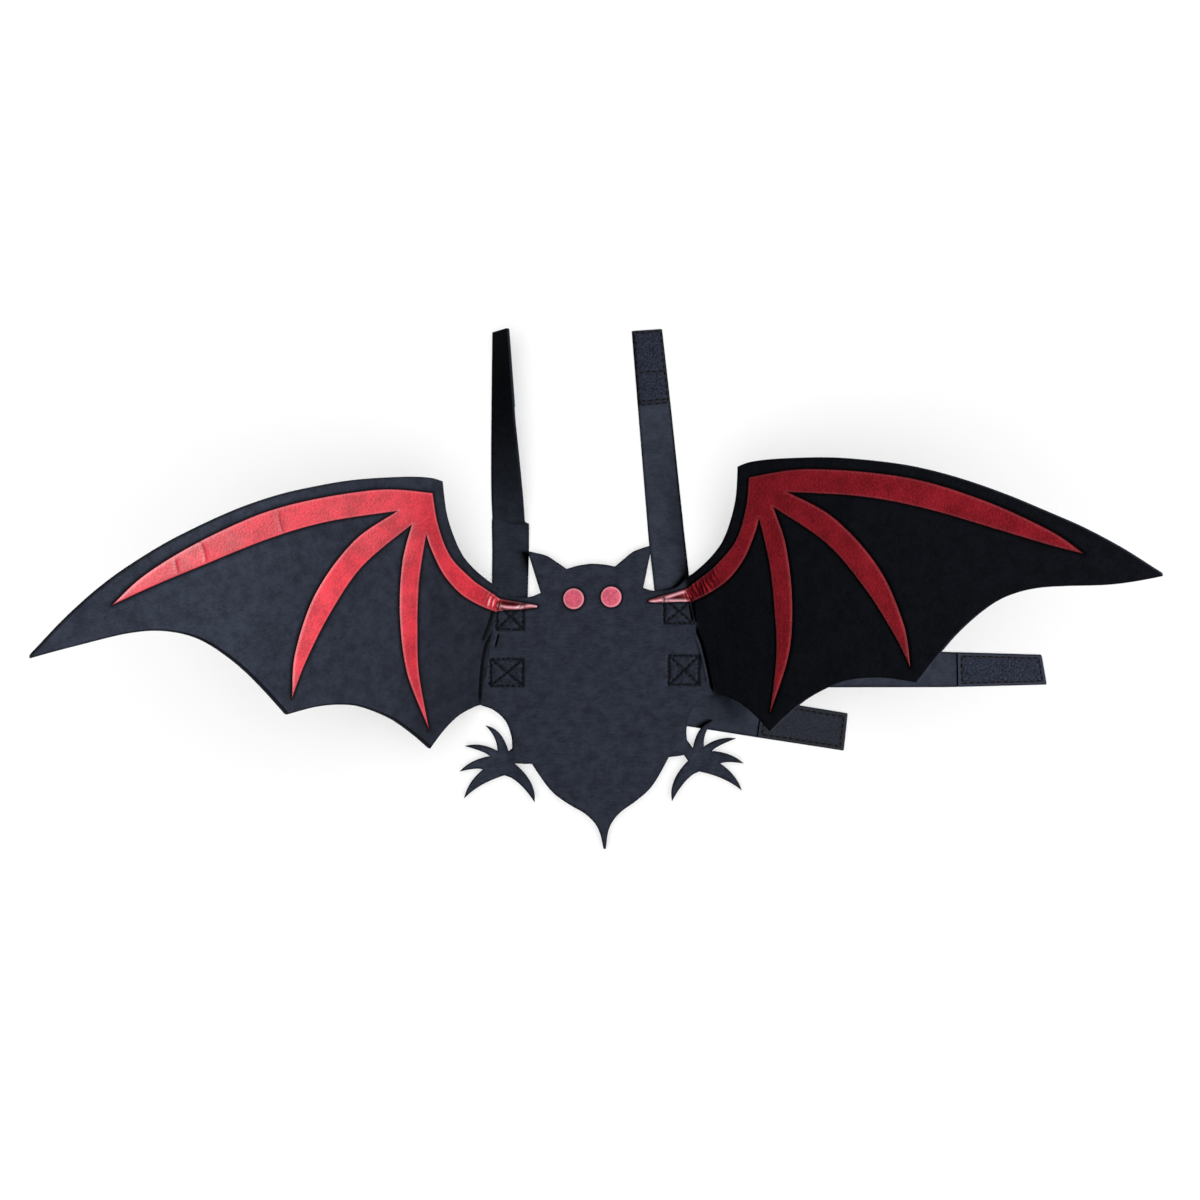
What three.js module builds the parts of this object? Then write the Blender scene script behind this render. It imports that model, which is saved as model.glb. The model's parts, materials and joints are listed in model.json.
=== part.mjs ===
// Bat-shaped felt back harness, lying on its straps with both wings folded up.
// Millimetres, +Z up, +Y towards the head, +X to the right as seen from above.
import * as THREE from "three";
import { mergeVertices } from "three/addons/utils/BufferGeometryUtils.js";

// Thicknesses and the gap left between pieces that touch
const FELT = 3;
const STRAP = 1.2;
const PATCH = 1.6;
const FILM = 0.4;
const GAP = 0.3;

// Heights: a strap on the floor, a strap end sewn above it, and the middle of the felt sheet on top
const FLOOR_STRAP = STRAP / 2;
const SEWN_STRAP = STRAP * 1.5 + GAP;
const FELT_MIDDLE = 2 * (STRAP + GAP) + FELT / 2;
const FILM_LOW = FELT / 2 + GAP;
const FILM_HIGH = FILM_LOW + FILM;

// Widths of the straps at the sewn end and at the two tapered free ends
const STRAP_WIDTH = 18;
const NARROW_END = 15.2;
const PATCH_INSET = 0.6;

// The crease at a wing's root: where it starts below the armpit and where it ends at the shoulder
const CREASE_X = 58.4;
const CREASE_Y = -25.7;
const CREASE_FOOT = -1;
const CREASE_TOP = 58;

// Both wings are one pattern. Each has its own fold, its crease leans in towards the head by its own
// angle, and its tip is swept along the crease. Each wing sags a little towards its tip. The two feet
// lie a little differently.
const WING_SAG_DEG = 6;
const SWEEP_START = 172;
const SIDES = {
  left: { side: -1, foldDeg: 43.5, creaseLeanDeg: 12.3, tipSweep: -5.5, palmX: 47.6, palmY: -55.3 },
  right: { side: 1, foldDeg: 38.5, creaseLeanDeg: 11.3, tipSweep: 5.5, palmX: 48.5, palmY: -58.2 },
};

// How finely edges, columns, claws and straps are stepped, and how near two points count as one
const EDGE_STEP = 2.4;
const WING_COLUMN = 2.5;
const FINE_STEP = 0.5;
const CLAW_STEPS = 6;
const RISE_STEP = 0.25;
const LEAN_STEP_DEG = 1;
const SAME_PLACE = 0.01;
const WELD = 0.001;

// Wing outline on the flat felt: distance out from the crease, distance along it
const TIP_OUT = 220.5;
const NECK_EDGE = [[0, CREASE_TOP], [7, 60], [19, 65.6], [29, 73.3], [39.2, 88.2], [45, 103.5]];
const LEADING_EDGE = [
  [45, 103.5], [53, 103.8], [68, 101.3], [93, 95.2], [116, 87.2], [132.4, 80.1],
  [149.6, 70.6], [168, 58.4], [182, 47.7], [195, 36.6], [208, 23], [TIP_OUT, 7.3],
];
const INNER_SCALLOP = [[0, CREASE_FOOT], [4, -2.3], [12.8, -7.2], [20, -14.6], [26.5, -24.2]];
const MIDDLE_SCALLOP = [
  [26.5, -24.2], [38, -17.6], [52, -11.2], [68.8, -7], [80, -6.6], [93, -8.6], [107, -13.1],
];
const OUTER_SCALLOP = [
  [107, -13.1], [120.5, -2.4], [133, 6.3], [147, 13.6], [158, 16.8],
  [170, 17.4], [183, 15.3], [202, 10.2], [TIP_OUT, 6.1],
];

// Red print on the flat wing: the corners of the hub, and an arm and three fingers, each between two
// edges that start from the hub
const PRINT_LOW = 45.8;
const PRINT_TOP = 53;
const HUB = { top: [50, 97], armpit: [49.7, 77.2], inner: [58.6, 80.4], outer: [67.7, 85.4] };
const FIRST_TIP = [192.5, 26.5];
const SECOND_TIP = [106, -5.5];
const THIRD_TIP = [29.4, -15];
const PRINT_LIMBS = {
  arm: {
    below: [HUB.armpit, [45.7, 70.8], [36.2, 60], [24.2, 52], [11, 47.7], [0, PRINT_LOW]],
    above: [HUB.top, [43.7, 82.6], [34.2, 69.4], [19.7, 60.4], [9.4, 56.3], [0, PRINT_TOP]],
  },
  first: {
    below: [HUB.outer, [102, 74.9], [129.5, 62.8], [161, 45], FIRST_TIP],
    above: [HUB.top, [81, 93], [124.5, 78.1], [156, 60], [181, 40.2], FIRST_TIP],
  },
  second: {
    below: [HUB.inner, [81, 57.7], [94.2, 33.2], [102.4, 10], SECOND_TIP],
    above: [HUB.outer, [87.7, 68.2], [102.8, 42], [108, 14.5], SECOND_TIP],
  },
  third: {
    below: [HUB.armpit, [49.3, 56], [46.2, 35], [40.8, 12], THIRD_TIP],
    above: [HUB.inner, [60.2, 61.4], [56.2, 35.3], [47.2, 10.5], THIRD_TIP],
  },
};
const LIMB_STEPS = { arm: 20, first: 32, second: 24, third: 24 };
// The arm's end on the body: from the top of the crease round the point to the foot of it
const ARM_END = [[42, 24.6], [34.5, 23], [27.6, 21.2], [27.6, 20.2], [35, 19.5], [42, 19.6]];

// Right half of the body outline, from the crown down to the tail, x and y
const CROWN = [[0, 40.6], [6, 40], [12, 38.6]];
const EAR_INSIDE = [[12, 38.6], [17, 42.4], [22, 45.8], [31, 48.4]];
const EAR_OUTSIDE = [[31, 48.4], [28.8, 40], [27, 33], [25.5, 27.3]];
const SHOULDER = [[25.5, 27.3], [31, 25.6], [38, 25.8], [42.5, 27.2]];
const ARMPIT = [[53, -28.8], [48.7, -32], [45.4, -36.6], [43.5, -43.7], [43.5, -49.2]];
const HIP = [[41.6, -56.6], [38, -57]];
const FLANK = [
  [34, -57.2], [30.6, -63], [26.6, -69.1], [22.6, -73.6], [16, -78.6],
  [9.2, -83], [4.4, -88], [2, -93.4], [0.6, -101.4],
];

// Foot: five bent claws round the palm, each from the last root out to its tip and back to its own root
const ANKLE_X = -2.2;
const ANKLE_Y = 4.7;
const CLAWS = [
  { outX: 0.6, outY: 16, tipX: 8.5, tipY: 18.1, backX: 3, backY: 12, rootX: 3.3, rootY: 5 },
  { outX: 11, outY: 10, tipX: 19.4, tipY: 8.4, backX: 9.5, backY: 5.2, rootX: 7, rootY: 2.7 },
  { outX: 17, outY: 1.6, tipX: 22.7, tipY: -4.2, backX: 14, backY: -2.4, rootX: 10.9, rootY: -3.6 },
  { outX: 19, outY: -9.5, tipX: 21.1, tipY: -17.7, backX: 13.5, backY: -10.5, rootX: 0.4, rootY: -7.1 },
  { outX: -6.5, outY: -8.5, tipX: -14, tipY: -21, backX: -15.5, backY: -11, rootX: -5, rootY: -1.5 },
];

// Eyes
const EYE_X = 9.3;
const EYE_Y = 23.6;
const EYE_RADIUS = 5.2;
const EYE_SIDES = 32;

// Straps, a row for each place along them: the middle of the strap, the direction that its width points in
// (degrees from +X), how far it leans over (degrees), its width
const NECK_RIGHT = [
  { x: 41.2, y: 7.5, z: SEWN_STRAP, across: 183, lean: 0, width: STRAP_WIDTH },
  { x: 40, y: 27, z: SEWN_STRAP, across: 183, lean: 0, width: STRAP_WIDTH },
  { x: 38.5, y: 52, z: FLOOR_STRAP, across: 183, lean: 0, width: STRAP_WIDTH },
  { x: 35.6, y: 118, z: FLOOR_STRAP, across: 182, lean: 0, width: 16.4 },
  { x: 33.8, y: 155.7, z: FLOOR_STRAP, across: 181, lean: 0, width: NARROW_END },
];
const NECK_LEFT = [
  { x: -42.3, y: 7.5, z: SEWN_STRAP, across: 177, lean: 0, width: STRAP_WIDTH },
  { x: -41, y: 27, z: SEWN_STRAP, across: 177, lean: 0, width: STRAP_WIDTH },
  { x: -39.6, y: 50, z: FLOOR_STRAP, across: 177, lean: 0, width: 18.4 },
  { x: -39, y: 61.8, z: FLOOR_STRAP, across: 177, lean: 0, width: 18.6 },
  { x: -39.7, y: 65.2, z: 5.3, across: 177, lean: 29, width: 18.6 },
  { x: -39.6, y: 112, z: 8.2, across: 177, lean: 48, width: 18.6 },
  { x: -38.8, y: 157.5, z: 10, across: 177, lean: 63, width: STRAP_WIDTH },
];
const BELLY_RIGHT = [
  { x: 34, y: -13.9, z: SEWN_STRAP, across: 87, lean: 0, width: STRAP_WIDTH },
  { x: 54, y: -14.9, z: SEWN_STRAP, across: 87, lean: 0, width: STRAP_WIDTH },
  { x: 82, y: -16.3, z: FLOOR_STRAP, across: 87, lean: 0, width: STRAP_WIDTH },
  { x: 175, y: -20.9, z: FLOOR_STRAP, across: 87, lean: 0, width: 17.6 },
  { x: 223.3, y: -23.3, z: FLOOR_STRAP, across: 97, lean: 0, width: NARROW_END },
];
// The left belly strap runs out to the left, turns under itself and comes back along the floor
const BELLY_TURN_X = -57;
const BELLY_TURN_Y = -12.4;
const BELLY_TURN_ACROSS = 262;
const BELLY_TURN_STEPS = 6;
const BELLY_LEFT_SEWN = [
  { x: -35, y: -11.5, z: SEWN_STRAP, across: 270, lean: 0, width: STRAP_WIDTH },
  { x: BELLY_TURN_X, y: BELLY_TURN_Y, z: SEWN_STRAP, across: 264, lean: 0, width: STRAP_WIDTH },
];
const BELLY_LEFT_FLOOR = [
  { x: BELLY_TURN_X, y: BELLY_TURN_Y, z: FLOOR_STRAP, across: 260, lean: 0, width: STRAP_WIDTH },
  { x: -49, y: -14, z: FLOOR_STRAP, across: 258.4, lean: 0, width: STRAP_WIDTH },
  { x: 78, y: -40.3, z: FLOOR_STRAP, across: 258.4, lean: 0, width: 18.6 },
  { x: 122.9, y: -49.5, z: FLOOR_STRAP, across: 261, lean: 0, width: 18.8 },
];

// Hook-and-loop patches: length at the strap's free end
const NECK_PATCH = 38;
const BELLY_PATCH = 43;

const felt = () => new THREE.MeshStandardMaterial({ color: 0x2c303c, roughness: 0.95, metalness: 0 });
const strapFelt = () => new THREE.MeshStandardMaterial({ color: 0x2e343f, roughness: 0.92, metalness: 0 });
const fastener = () => new THREE.MeshStandardMaterial({ color: 0x2d2e39, roughness: 1, metalness: 0 });
const redFilm = () => new THREE.MeshStandardMaterial({ color: 0xdd3a42, roughness: 0.45, metalness: 0 });

// A smooth line through a short row of places, as points about one step apart
function smoothLine(through, step = EDGE_STEP) {
  const line = new THREE.SplineCurve(through.map(([x, y]) => new THREE.Vector2(x, y)));
  return line.getSpacedPoints(Math.max(2, Math.round(line.getLength() / step)));
}

// The height of a line above a distance out from the crease
function alongAt(line, out) {
  const next = Math.max(1, line.findIndex((point) => point.x >= out));
  const [a, b] = [line[next - 1], line[next]];
  return a.y + ((b.y - a.y) * (out - a.x)) / (b.x - a.x);
}

// A point of the felt body, with its place in the lying sheet at a height from the sheet's middle
function bodyPoint(x, y) {
  const at = (height) => new THREE.Vector3(x, y, FELT_MIDDLE + height);
  return Object.assign(new THREE.Vector2(x, y), { at });
}

// A point of a wing: on the crease the sheet is mitred, and beyond it it follows the fold and the sag
function wingPoint({ side, foldDeg, creaseLeanDeg, tipSweep }, out, along) {
  const lean = THREE.MathUtils.degToRad(creaseLeanDeg);
  const root = THREE.MathUtils.degToRad(foldDeg);
  const sag = THREE.MathUtils.degToRad(WING_SAG_DEG) / TIP_OUT;
  const slope = root - sag * out;
  const swept = along + tipSweep * Math.max(0, (out - SWEEP_START) / (TIP_OUT - SWEEP_START)) ** 2;
  const planX = (reach) => side * (CREASE_X + reach * Math.cos(lean) - swept * Math.sin(lean));
  const planY = (reach) => CREASE_Y + reach * Math.sin(lean) + swept * Math.cos(lean);
  const run = (Math.sin(root) - Math.sin(slope)) / sag;
  const rise = (Math.cos(slope) - Math.cos(root)) / sag;
  const tilt = out > 0 ? slope : root / 2;
  const stretch = out > 0 ? 1 : 1 / Math.cos(root / 2);
  const at = (height) => {
    const reach = run - height * stretch * Math.sin(tilt);
    const level = FELT_MIDDLE + rise + height * stretch * Math.cos(tilt);
    return new THREE.Vector3(planX(reach), planY(reach), level);
  };
  return Object.assign(new THREE.Vector2(planX(out), planY(out)), { at });
}

// A closed solid from corner points and triangles
function solid(name, corners, triangles, material) {
  const geometry = new THREE.BufferGeometry();
  const numbers = corners.flatMap((corner) => corner.toArray());
  geometry.setAttribute("position", new THREE.Float32BufferAttribute(numbers, 3));
  geometry.setIndex(triangles.flat());
  const mesh = new THREE.Mesh(mergeVertices(geometry, WELD), material);
  mesh.geometry.computeVertexNormals();
  mesh.name = name;
  return mesh;
}

// A sheet from flat panels that share their edges: faces below and above, and a wall on each edge that only
// one panel has
function thickSheet(name, panels, low, high, material) {
  const corners = [];
  const triangles = [];
  const walls = new Map();
  const key = (a, b) => [a, b].map((p) => `${p.x.toFixed(4)} ${p.y.toFixed(4)}`).join(" to ");
  for (const panel of panels) {
    const ring = THREE.ShapeUtils.isClockWise(panel) ? [...panel].reverse() : panel;
    const first = corners.length;
    for (const point of ring) corners.push(point.at(low), point.at(high));
    for (const [a, b, c] of THREE.ShapeUtils.triangulateShape(ring, [])) {
      const [up, down] = [[a, b, c], [a, c, b]];
      triangles.push(up.map((i) => first + 2 * i + 1), down.map((i) => first + 2 * i));
    }
    ring.forEach((point, i) => {
      const j = (i + 1) % ring.length;
      const back = key(ring[j], point);
      if (walls.has(back)) walls.delete(back);
      else walls.set(key(point, ring[j]), [first + 2 * i, first + 2 * j]);
    });
  }
  for (const [a, b] of walls.values()) triangles.push([a, b, b + 1], [a, b + 1, a + 1]);
  return solid(name, corners, triangles, material);
}

// One wing of the felt sheet, as narrow panels side by side from the crease to the tip
function wingPanels(wing) {
  const joined = (lines) => lines.flatMap((line, i) => smoothLine(line, FINE_STEP).slice(i ? 1 : 0));
  const above = joined([NECK_EDGE, LEADING_EDGE]);
  const below = joined([INNER_SCALLOP, MIDDLE_SCALLOP, OUTER_SCALLOP]);
  const count = Math.round(TIP_OUT / WING_COLUMN);
  const places = Array.from({ length: count + 1 }, (_, i) => (i * TIP_OUT) / count);
  for (const corner of [LEADING_EDGE[0], MIDDLE_SCALLOP[0], OUTER_SCALLOP[0]]) {
    places[Math.round((corner[0] * count) / TIP_OUT)] = corner[0];
  }
  const columns = places.map((out) => [
    wingPoint(wing, out, alongAt(below, out)),
    wingPoint(wing, out, alongAt(above, out)),
  ]);
  return columns.slice(1).map(([low, high], i) => [columns[i][0], low, high, columns[i][1]]);
}

// The foot's outline from the ankle round its claws
function footOutline({ palmX, palmY }) {
  const foot = [new THREE.Vector2(ANKLE_X, ANKLE_Y)];
  let [rootX, rootY] = [ANKLE_X, ANKLE_Y];
  for (const claw of CLAWS) {
    const out = new THREE.QuadraticBezierCurve(
      new THREE.Vector2(rootX, rootY),
      new THREE.Vector2(claw.outX, claw.outY),
      new THREE.Vector2(claw.tipX, claw.tipY),
    );
    const back = new THREE.QuadraticBezierCurve(
      new THREE.Vector2(claw.tipX, claw.tipY),
      new THREE.Vector2(claw.backX, claw.backY),
      new THREE.Vector2(claw.rootX, claw.rootY),
    );
    for (const edge of [out, back]) foot.push(...edge.getSpacedPoints(CLAW_STEPS).slice(1));
    [rootX, rootY] = [claw.rootX, claw.rootY];
  }
  return foot.map((point) => new THREE.Vector2(palmX + point.x, palmY + point.y));
}

// The body from the crown to the tail on one side, with the crease as one straight edge
function halfBody(wing) {
  const headLines = [CROWN, EAR_INSIDE, EAR_OUTSIDE, SHOULDER];
  const head = headLines.flatMap((line) => smoothLine(line).slice(0, -1));
  const shoulder = new THREE.Vector2(...SHOULDER.at(-1));
  const foot = footOutline(wing);
  const below = [...smoothLine(ARMPIT), ...foot, ...smoothLine(HIP), ...smoothLine(FLANK)];
  const placed = (points) => points.map((point) => bodyPoint(wing.side * point.x, point.y));
  const crease = [wingPoint(wing, 0, CREASE_TOP), wingPoint(wing, 0, CREASE_FOOT)];
  return [...placed([...head, shoulder]), ...crease, ...placed(below)];
}

function feltBat() {
  const body = [...halfBody(SIDES.right), ...halfBody(SIDES.left).slice(1).reverse()];
  const panels = [body, ...wingPanels(SIDES.right), ...wingPanels(SIDES.left)];
  return thickSheet("felt_bat", panels, -FELT / 2, FELT / 2, felt());
}

// A limb of the print as rungs between its two edges; where they meet in a tip the last rung is a point
function limbPanels(wing, { below, above }, steps) {
  const edges = [below, above].map((through) => {
    const line = new THREE.SplineCurve(through.map(([x, y]) => new THREE.Vector2(x, y)));
    return line.getSpacedPoints(steps).map((point) => wingPoint(wing, point.x, point.y));
  });
  return Array.from({ length: steps }, (_, i) => {
    const panel = [edges[0][i], edges[0][i + 1], edges[1][i + 1], edges[1][i]];
    return panel.filter((point, k) => k !== 2 || point.distanceTo(panel[1]) > SAME_PLACE);
  });
}

// The red print of one wing: the arm's end on the body meets the arm on the crease
function bonePrint(name, wing) {
  const hubCorners = [HUB.top, HUB.armpit, HUB.inner, HUB.outer];
  const hub = hubCorners.map(([out, along]) => wingPoint(wing, out, along));
  const limbs = Object.keys(PRINT_LIMBS).flatMap((limb) => {
    return limbPanels(wing, PRINT_LIMBS[limb], LIMB_STEPS[limb]);
  });
  const end = ARM_END.map(([x, y]) => bodyPoint(wing.side * x, y));
  const arm = [wingPoint(wing, 0, PRINT_TOP), ...end, wingPoint(wing, 0, PRINT_LOW)];
  return thickSheet(name, [hub, ...limbs, arm], FILM_LOW, FILM_HIGH, redFilm());
}

function eye(name, side) {
  const turns = Array.from({ length: EYE_SIDES }, (_, i) => (2 * Math.PI * i) / EYE_SIDES);
  const dot = turns.map((turn) => {
    return bodyPoint(side * EYE_X + EYE_RADIUS * Math.cos(turn), EYE_Y + EYE_RADIUS * Math.sin(turn));
  });
  return thickSheet(name, [dot], FILM_LOW, FILM_HIGH, redFilm());
}

// The rows of a strap with steps between them where it rises, turns or leans
function strapStations(rows) {
  const stations = [rows[0]];
  for (let i = 1; i < rows.length; i++) {
    const [a, b] = [rows[i - 1], rows[i]];
    const change = Math.max(Math.abs(b.z - a.z) / RISE_STEP, Math.abs(b.lean - a.lean) / LEAN_STEP_DEG);
    const steps = Math.max(1, Math.ceil(change));
    for (let k = 1; k <= steps; k++) {
      const even = k / steps;
      const eased = THREE.MathUtils.smoothstep(even, 0, 1);
      const mix = (column, share) => THREE.MathUtils.lerp(a[column], b[column], share);
      stations.push({
        x: mix("x", even), y: mix("y", even), z: mix("z", eased),
        across: mix("across", even), lean: mix("lean", eased), width: mix("width", even),
      });
    }
  }
  return stations;
}

// The last stretch of a strap, of a given length, with a station where it starts
function lastStretch(stations, length) {
  const kept = [stations.at(-1)];
  let left = length;
  for (let i = stations.length - 2; i >= 0; i--) {
    const [a, b] = [stations[i], stations[i + 1]];
    const span = Math.hypot(b.x - a.x, b.y - a.y, b.z - a.z);
    const share = Math.min(1, left / span);
    const mix = (column) => THREE.MathUtils.lerp(b[column], a[column], share);
    kept.unshift(Object.fromEntries(Object.keys(a).map((column) => [column, mix(column)])));
    left -= span;
    if (left <= 0) break;
  }
  return kept;
}

// A flat strip that follows the stations, from one height above the strap's middle to another
function strip(name, stations, inset, low, high, material) {
  const middles = stations.map(({ x, y, z }) => new THREE.Vector3(x, y, z));
  const corners = stations.flatMap(({ across, lean, width }, i) => {
    const before = middles[Math.max(0, i - 1)];
    const after = middles[Math.min(stations.length - 1, i + 1)];
    const ahead = new THREE.Vector3().subVectors(after, before).normalize();
    const turn = THREE.MathUtils.degToRad(across);
    const side = new THREE.Vector3(Math.cos(turn), Math.sin(turn), 0);
    side.applyAxisAngle(ahead, THREE.MathUtils.degToRad(-lean));
    const up = new THREE.Vector3().crossVectors(ahead, side).normalize();
    const half = width / 2 - inset;
    const corner = (w, h) => middles[i].clone().addScaledVector(side, w).addScaledVector(up, h);
    return [corner(-half, low), corner(half, low), corner(half, high), corner(-half, high)];
  });
  const triangles = [[0, 2, 1], [0, 3, 2]];
  for (let i = 1; i < stations.length; i++) {
    for (let k = 0; k < 4; k++) {
      const [a, b] = [4 * (i - 1) + k, 4 * (i - 1) + ((k + 1) % 4)];
      triangles.push([a, b, b + 4], [a, b + 4, a + 4]);
    }
  }
  const end = 4 * (stations.length - 1);
  triangles.push([end, end + 1, end + 2], [end, end + 2, end + 3]);
  return solid(name, corners, triangles, material);
}

// The left belly strap with its turn, which bends round the middle between the two levels
function bellyLeftRows() {
  const radius = (SEWN_STRAP - FLOOR_STRAP) / 2;
  const turn = Array.from({ length: BELLY_TURN_STEPS - 1 }, (_, i) => {
    const angle = (Math.PI * (i + 1)) / BELLY_TURN_STEPS;
    const [x, z] = [BELLY_TURN_X - radius * Math.sin(angle), FLOOR_STRAP + radius * (1 + Math.cos(angle))];
    return { x, y: BELLY_TURN_Y, z, across: BELLY_TURN_ACROSS, lean: 0, width: STRAP_WIDTH };
  });
  return [...BELLY_LEFT_SEWN, ...turn, ...BELLY_LEFT_FLOOR];
}

const strap = (name, stations) => strip(name, stations, 0, -STRAP / 2, STRAP / 2, strapFelt());
const above = [STRAP / 2 + GAP, STRAP / 2 + GAP + PATCH];
const under = [-above[1], -above[0]];
const patch = (name, stations, length, [low, high]) =>
  strip(name, lastStretch(stations, length), PATCH_INSET, low, high, fastener());

const neckLeft = strapStations(NECK_LEFT);
const neckRight = strapStations(NECK_RIGHT);
const bellyLeft = bellyLeftRows();
const bellyRight = strapStations(BELLY_RIGHT);

const lying = new THREE.Group();
lying.add(
  feltBat(),
  bonePrint("bone_print_left", SIDES.left),
  bonePrint("bone_print_right", SIDES.right),
  eye("eye_left", -1),
  eye("eye_right", 1),
  strap("neck_strap_left", neckLeft),
  strap("neck_strap_right", neckRight),
  strap("belly_strap_left", bellyLeft),
  strap("belly_strap_right", bellyRight),
  patch("neck_patch_left", neckLeft, NECK_PATCH, under),
  patch("neck_patch_right", neckRight, NECK_PATCH, above),
  patch("belly_patch_left", bellyLeft, BELLY_PATCH, under),
  patch("belly_patch_right", bellyRight, BELLY_PATCH, above),
);

// The origin is under the middle of the whole harness, on the floor
const box = new THREE.Box3().setFromObject(lying);
const middle = box.getCenter(new THREE.Vector3());
lying.position.set(-middle.x, -middle.y, -box.min.z);

const harness = new THREE.Group();
harness.name = "bat_wing_harness";
harness.add(lying);
export default harness;
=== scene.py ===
"""Looks of a bat-shaped felt back harness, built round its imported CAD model."""

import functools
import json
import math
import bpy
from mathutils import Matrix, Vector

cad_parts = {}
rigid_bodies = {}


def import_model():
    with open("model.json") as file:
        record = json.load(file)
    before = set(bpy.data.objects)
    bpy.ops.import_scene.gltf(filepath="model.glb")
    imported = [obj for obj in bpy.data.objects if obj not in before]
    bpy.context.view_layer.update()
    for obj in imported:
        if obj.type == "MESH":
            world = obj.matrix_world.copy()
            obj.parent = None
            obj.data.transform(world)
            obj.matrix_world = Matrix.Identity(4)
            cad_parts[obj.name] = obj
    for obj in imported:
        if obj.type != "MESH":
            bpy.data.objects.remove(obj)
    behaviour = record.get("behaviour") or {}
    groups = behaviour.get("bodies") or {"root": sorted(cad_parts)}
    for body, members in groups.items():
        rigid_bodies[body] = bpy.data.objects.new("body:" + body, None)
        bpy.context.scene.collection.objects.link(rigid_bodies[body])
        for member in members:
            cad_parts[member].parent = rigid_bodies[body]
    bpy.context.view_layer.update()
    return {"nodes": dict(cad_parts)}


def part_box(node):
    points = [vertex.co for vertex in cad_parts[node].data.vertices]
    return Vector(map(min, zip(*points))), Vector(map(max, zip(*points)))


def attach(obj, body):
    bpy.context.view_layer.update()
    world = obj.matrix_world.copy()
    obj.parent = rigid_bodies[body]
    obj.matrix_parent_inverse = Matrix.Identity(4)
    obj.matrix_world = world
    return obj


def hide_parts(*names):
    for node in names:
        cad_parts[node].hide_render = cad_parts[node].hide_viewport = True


bl_info = {
    "name": "Felt bat harness",
    "version": (1, 0, 0),
    "blender": (4, 5, 0),
    "location": "3D View > Sidebar > Harness",
    "description": "Builds the felt, film, straps and stitches of a bat-shaped back harness",
    "category": "Object",
}

import bmesh
import bpy
import numpy as np
from mathutils import Vector, geometry, kdtree, noise

for thing in list(bpy.data.objects):
    bpy.data.objects.remove(thing)
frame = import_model()

# A millimetre in metres, a number too small to matter, and a gap in millimetres that counts as touching
MM = 0.001
TINY = 1e-9
TOUCHING = 0.001
BODY = "root"

# Collections that the lights are linked to
PIECES = "harness"
GROUND = "ground"
RAISED = "raised"

# Values that a mesh holds at its points: share of the material's colour, which carries painted light and
# shade, smoothness, and share of the pale colour of painted highlights
TONE = "tone"
GLOSS = "gloss"
PAINTED_HIGHLIGHT = "pale"

# Light: a square window halfway up on the right lights the harness, two soft overhead lights only the floor
WINDOW_TOWARDS = (0.69, -0.1, 0.717)
WINDOW_AWAY = 3.0
WINDOW_SIZE = 1.4
WINDOW_POWER = 134
OVERHEAD_POWER = {"overhead": 1.9, "open_sky": 1.8}
OVERHEAD_SHADED_BY = {"overhead": PIECES, "open_sky": GROUND}
OVERHEAD_SOFT = math.radians(80)
FILL = 0.025
FILL_COLOUR = (0.95, 0.97, 1.0, 1)
BACKDROP = 0.97
BACKDROP_COLOUR = (1, 1, 1, 1)
# A weak light from below stands for what the pale floor throws back under the wings
BOUNCE_SIZE = 3.0
BOUNCE_POWER = 9
BOUNCE_Z = -0.3
PAPER_HALF = 40.0
PAPER_Z = -0.0001

# The camera looks straight down, turned a little against the harness.
# The sewn boxes lie square to its view.
CAMERA_PLACE = (-0.00122, -0.00593, 0.7)
CAMERA_LENS = 42
CAMERA_SENSOR = 36
VIEW_TURN = math.radians(-2.83)

# The pattern's own frame is in millimetres, with the middle line of the bat at x = 0.
# The eyes show where it lies.
EYE_Y = 23.6
EYE_CORNERS = [corner for eye in ("eye_left", "eye_right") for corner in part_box(eye)]
EYE_MIDDLE = sum(EYE_CORNERS, Vector()) / len(EYE_CORNERS) / MM
ORIGIN = np.array([EYE_MIDDLE.x, EYE_MIDDLE.y - EYE_Y, 0.0])

# Soft lumps that vary shapes and tones: their size each way, and a seed
LUMPS = {
    "large waves": (55, 55, 3.7),
    "small waves": (14, 14, 9.1),
    "nap": (31, 31, 5.3),
    "flecks": (1.3, 1.3, 2.2),
    "ripple drift": (3.1, 4.5, 1.9),
    "ripple swell": (2.4, 5.2, 7.3),
    "strap fuzz": (9, 9, 5.3),
}

# Lines through places: the step between their points, the share of it that curves are drawn in, and from what
# turn on a place is a corner
LINE_STEP = 1.0
CURVE_SHARE = 0.25
CORNER_DEG = 28

# Reading the CAD sheets: metres below which points are one, the least cosine between faces of one skin, and
# rounds that find the plan below a raised sheet
MERGE = 1e-6
SAME_SKIN = 0.6
SETTLE_ROUNDS = 4

# Filling a loop with triangles: the kind that stays inside it, and the gap below which points are one
FILL_INSIDE = 1
FILL_GAP = 1e-5

# Heights of the sheets in the CAD model: the middle of the felt, and the film's middle above that
FELT_MIDDLE = 4.5
FILM_MIDDLE = 2.0

# The folds at the wings' roots. A wing starts above the foot, and its slope falls off towards its tip.
CREASE_X = 58.4
CREASE_Y = -25.7
WING_SAG = math.radians(6) / 220.5
LEAST_SINE = 0.01
BEND = 1.5
FOOT_CUT = -4.0
FOOT_SLOPE = 1.4
WINGS = {
    "left": {"side": -1, "fold": math.radians(43.5), "lean": math.radians(12.3), "rippled_to": 9.0},
    "right": {"side": 1, "fold": math.radians(38.5), "lean": math.radians(11.3), "rippled_to": 17.0},
}

# The feet and the tail hang lower: where that starts, over what length, and how far
FOOT_X = 40.0
FOOT_Y = -34.0
FOOT_SOFT = (9, 7)
FOOT_DROOP = 1.6
TAIL_Y = -84.0
TAIL_SOFT = 26
TAIL_DROOP = 2.2

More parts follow.
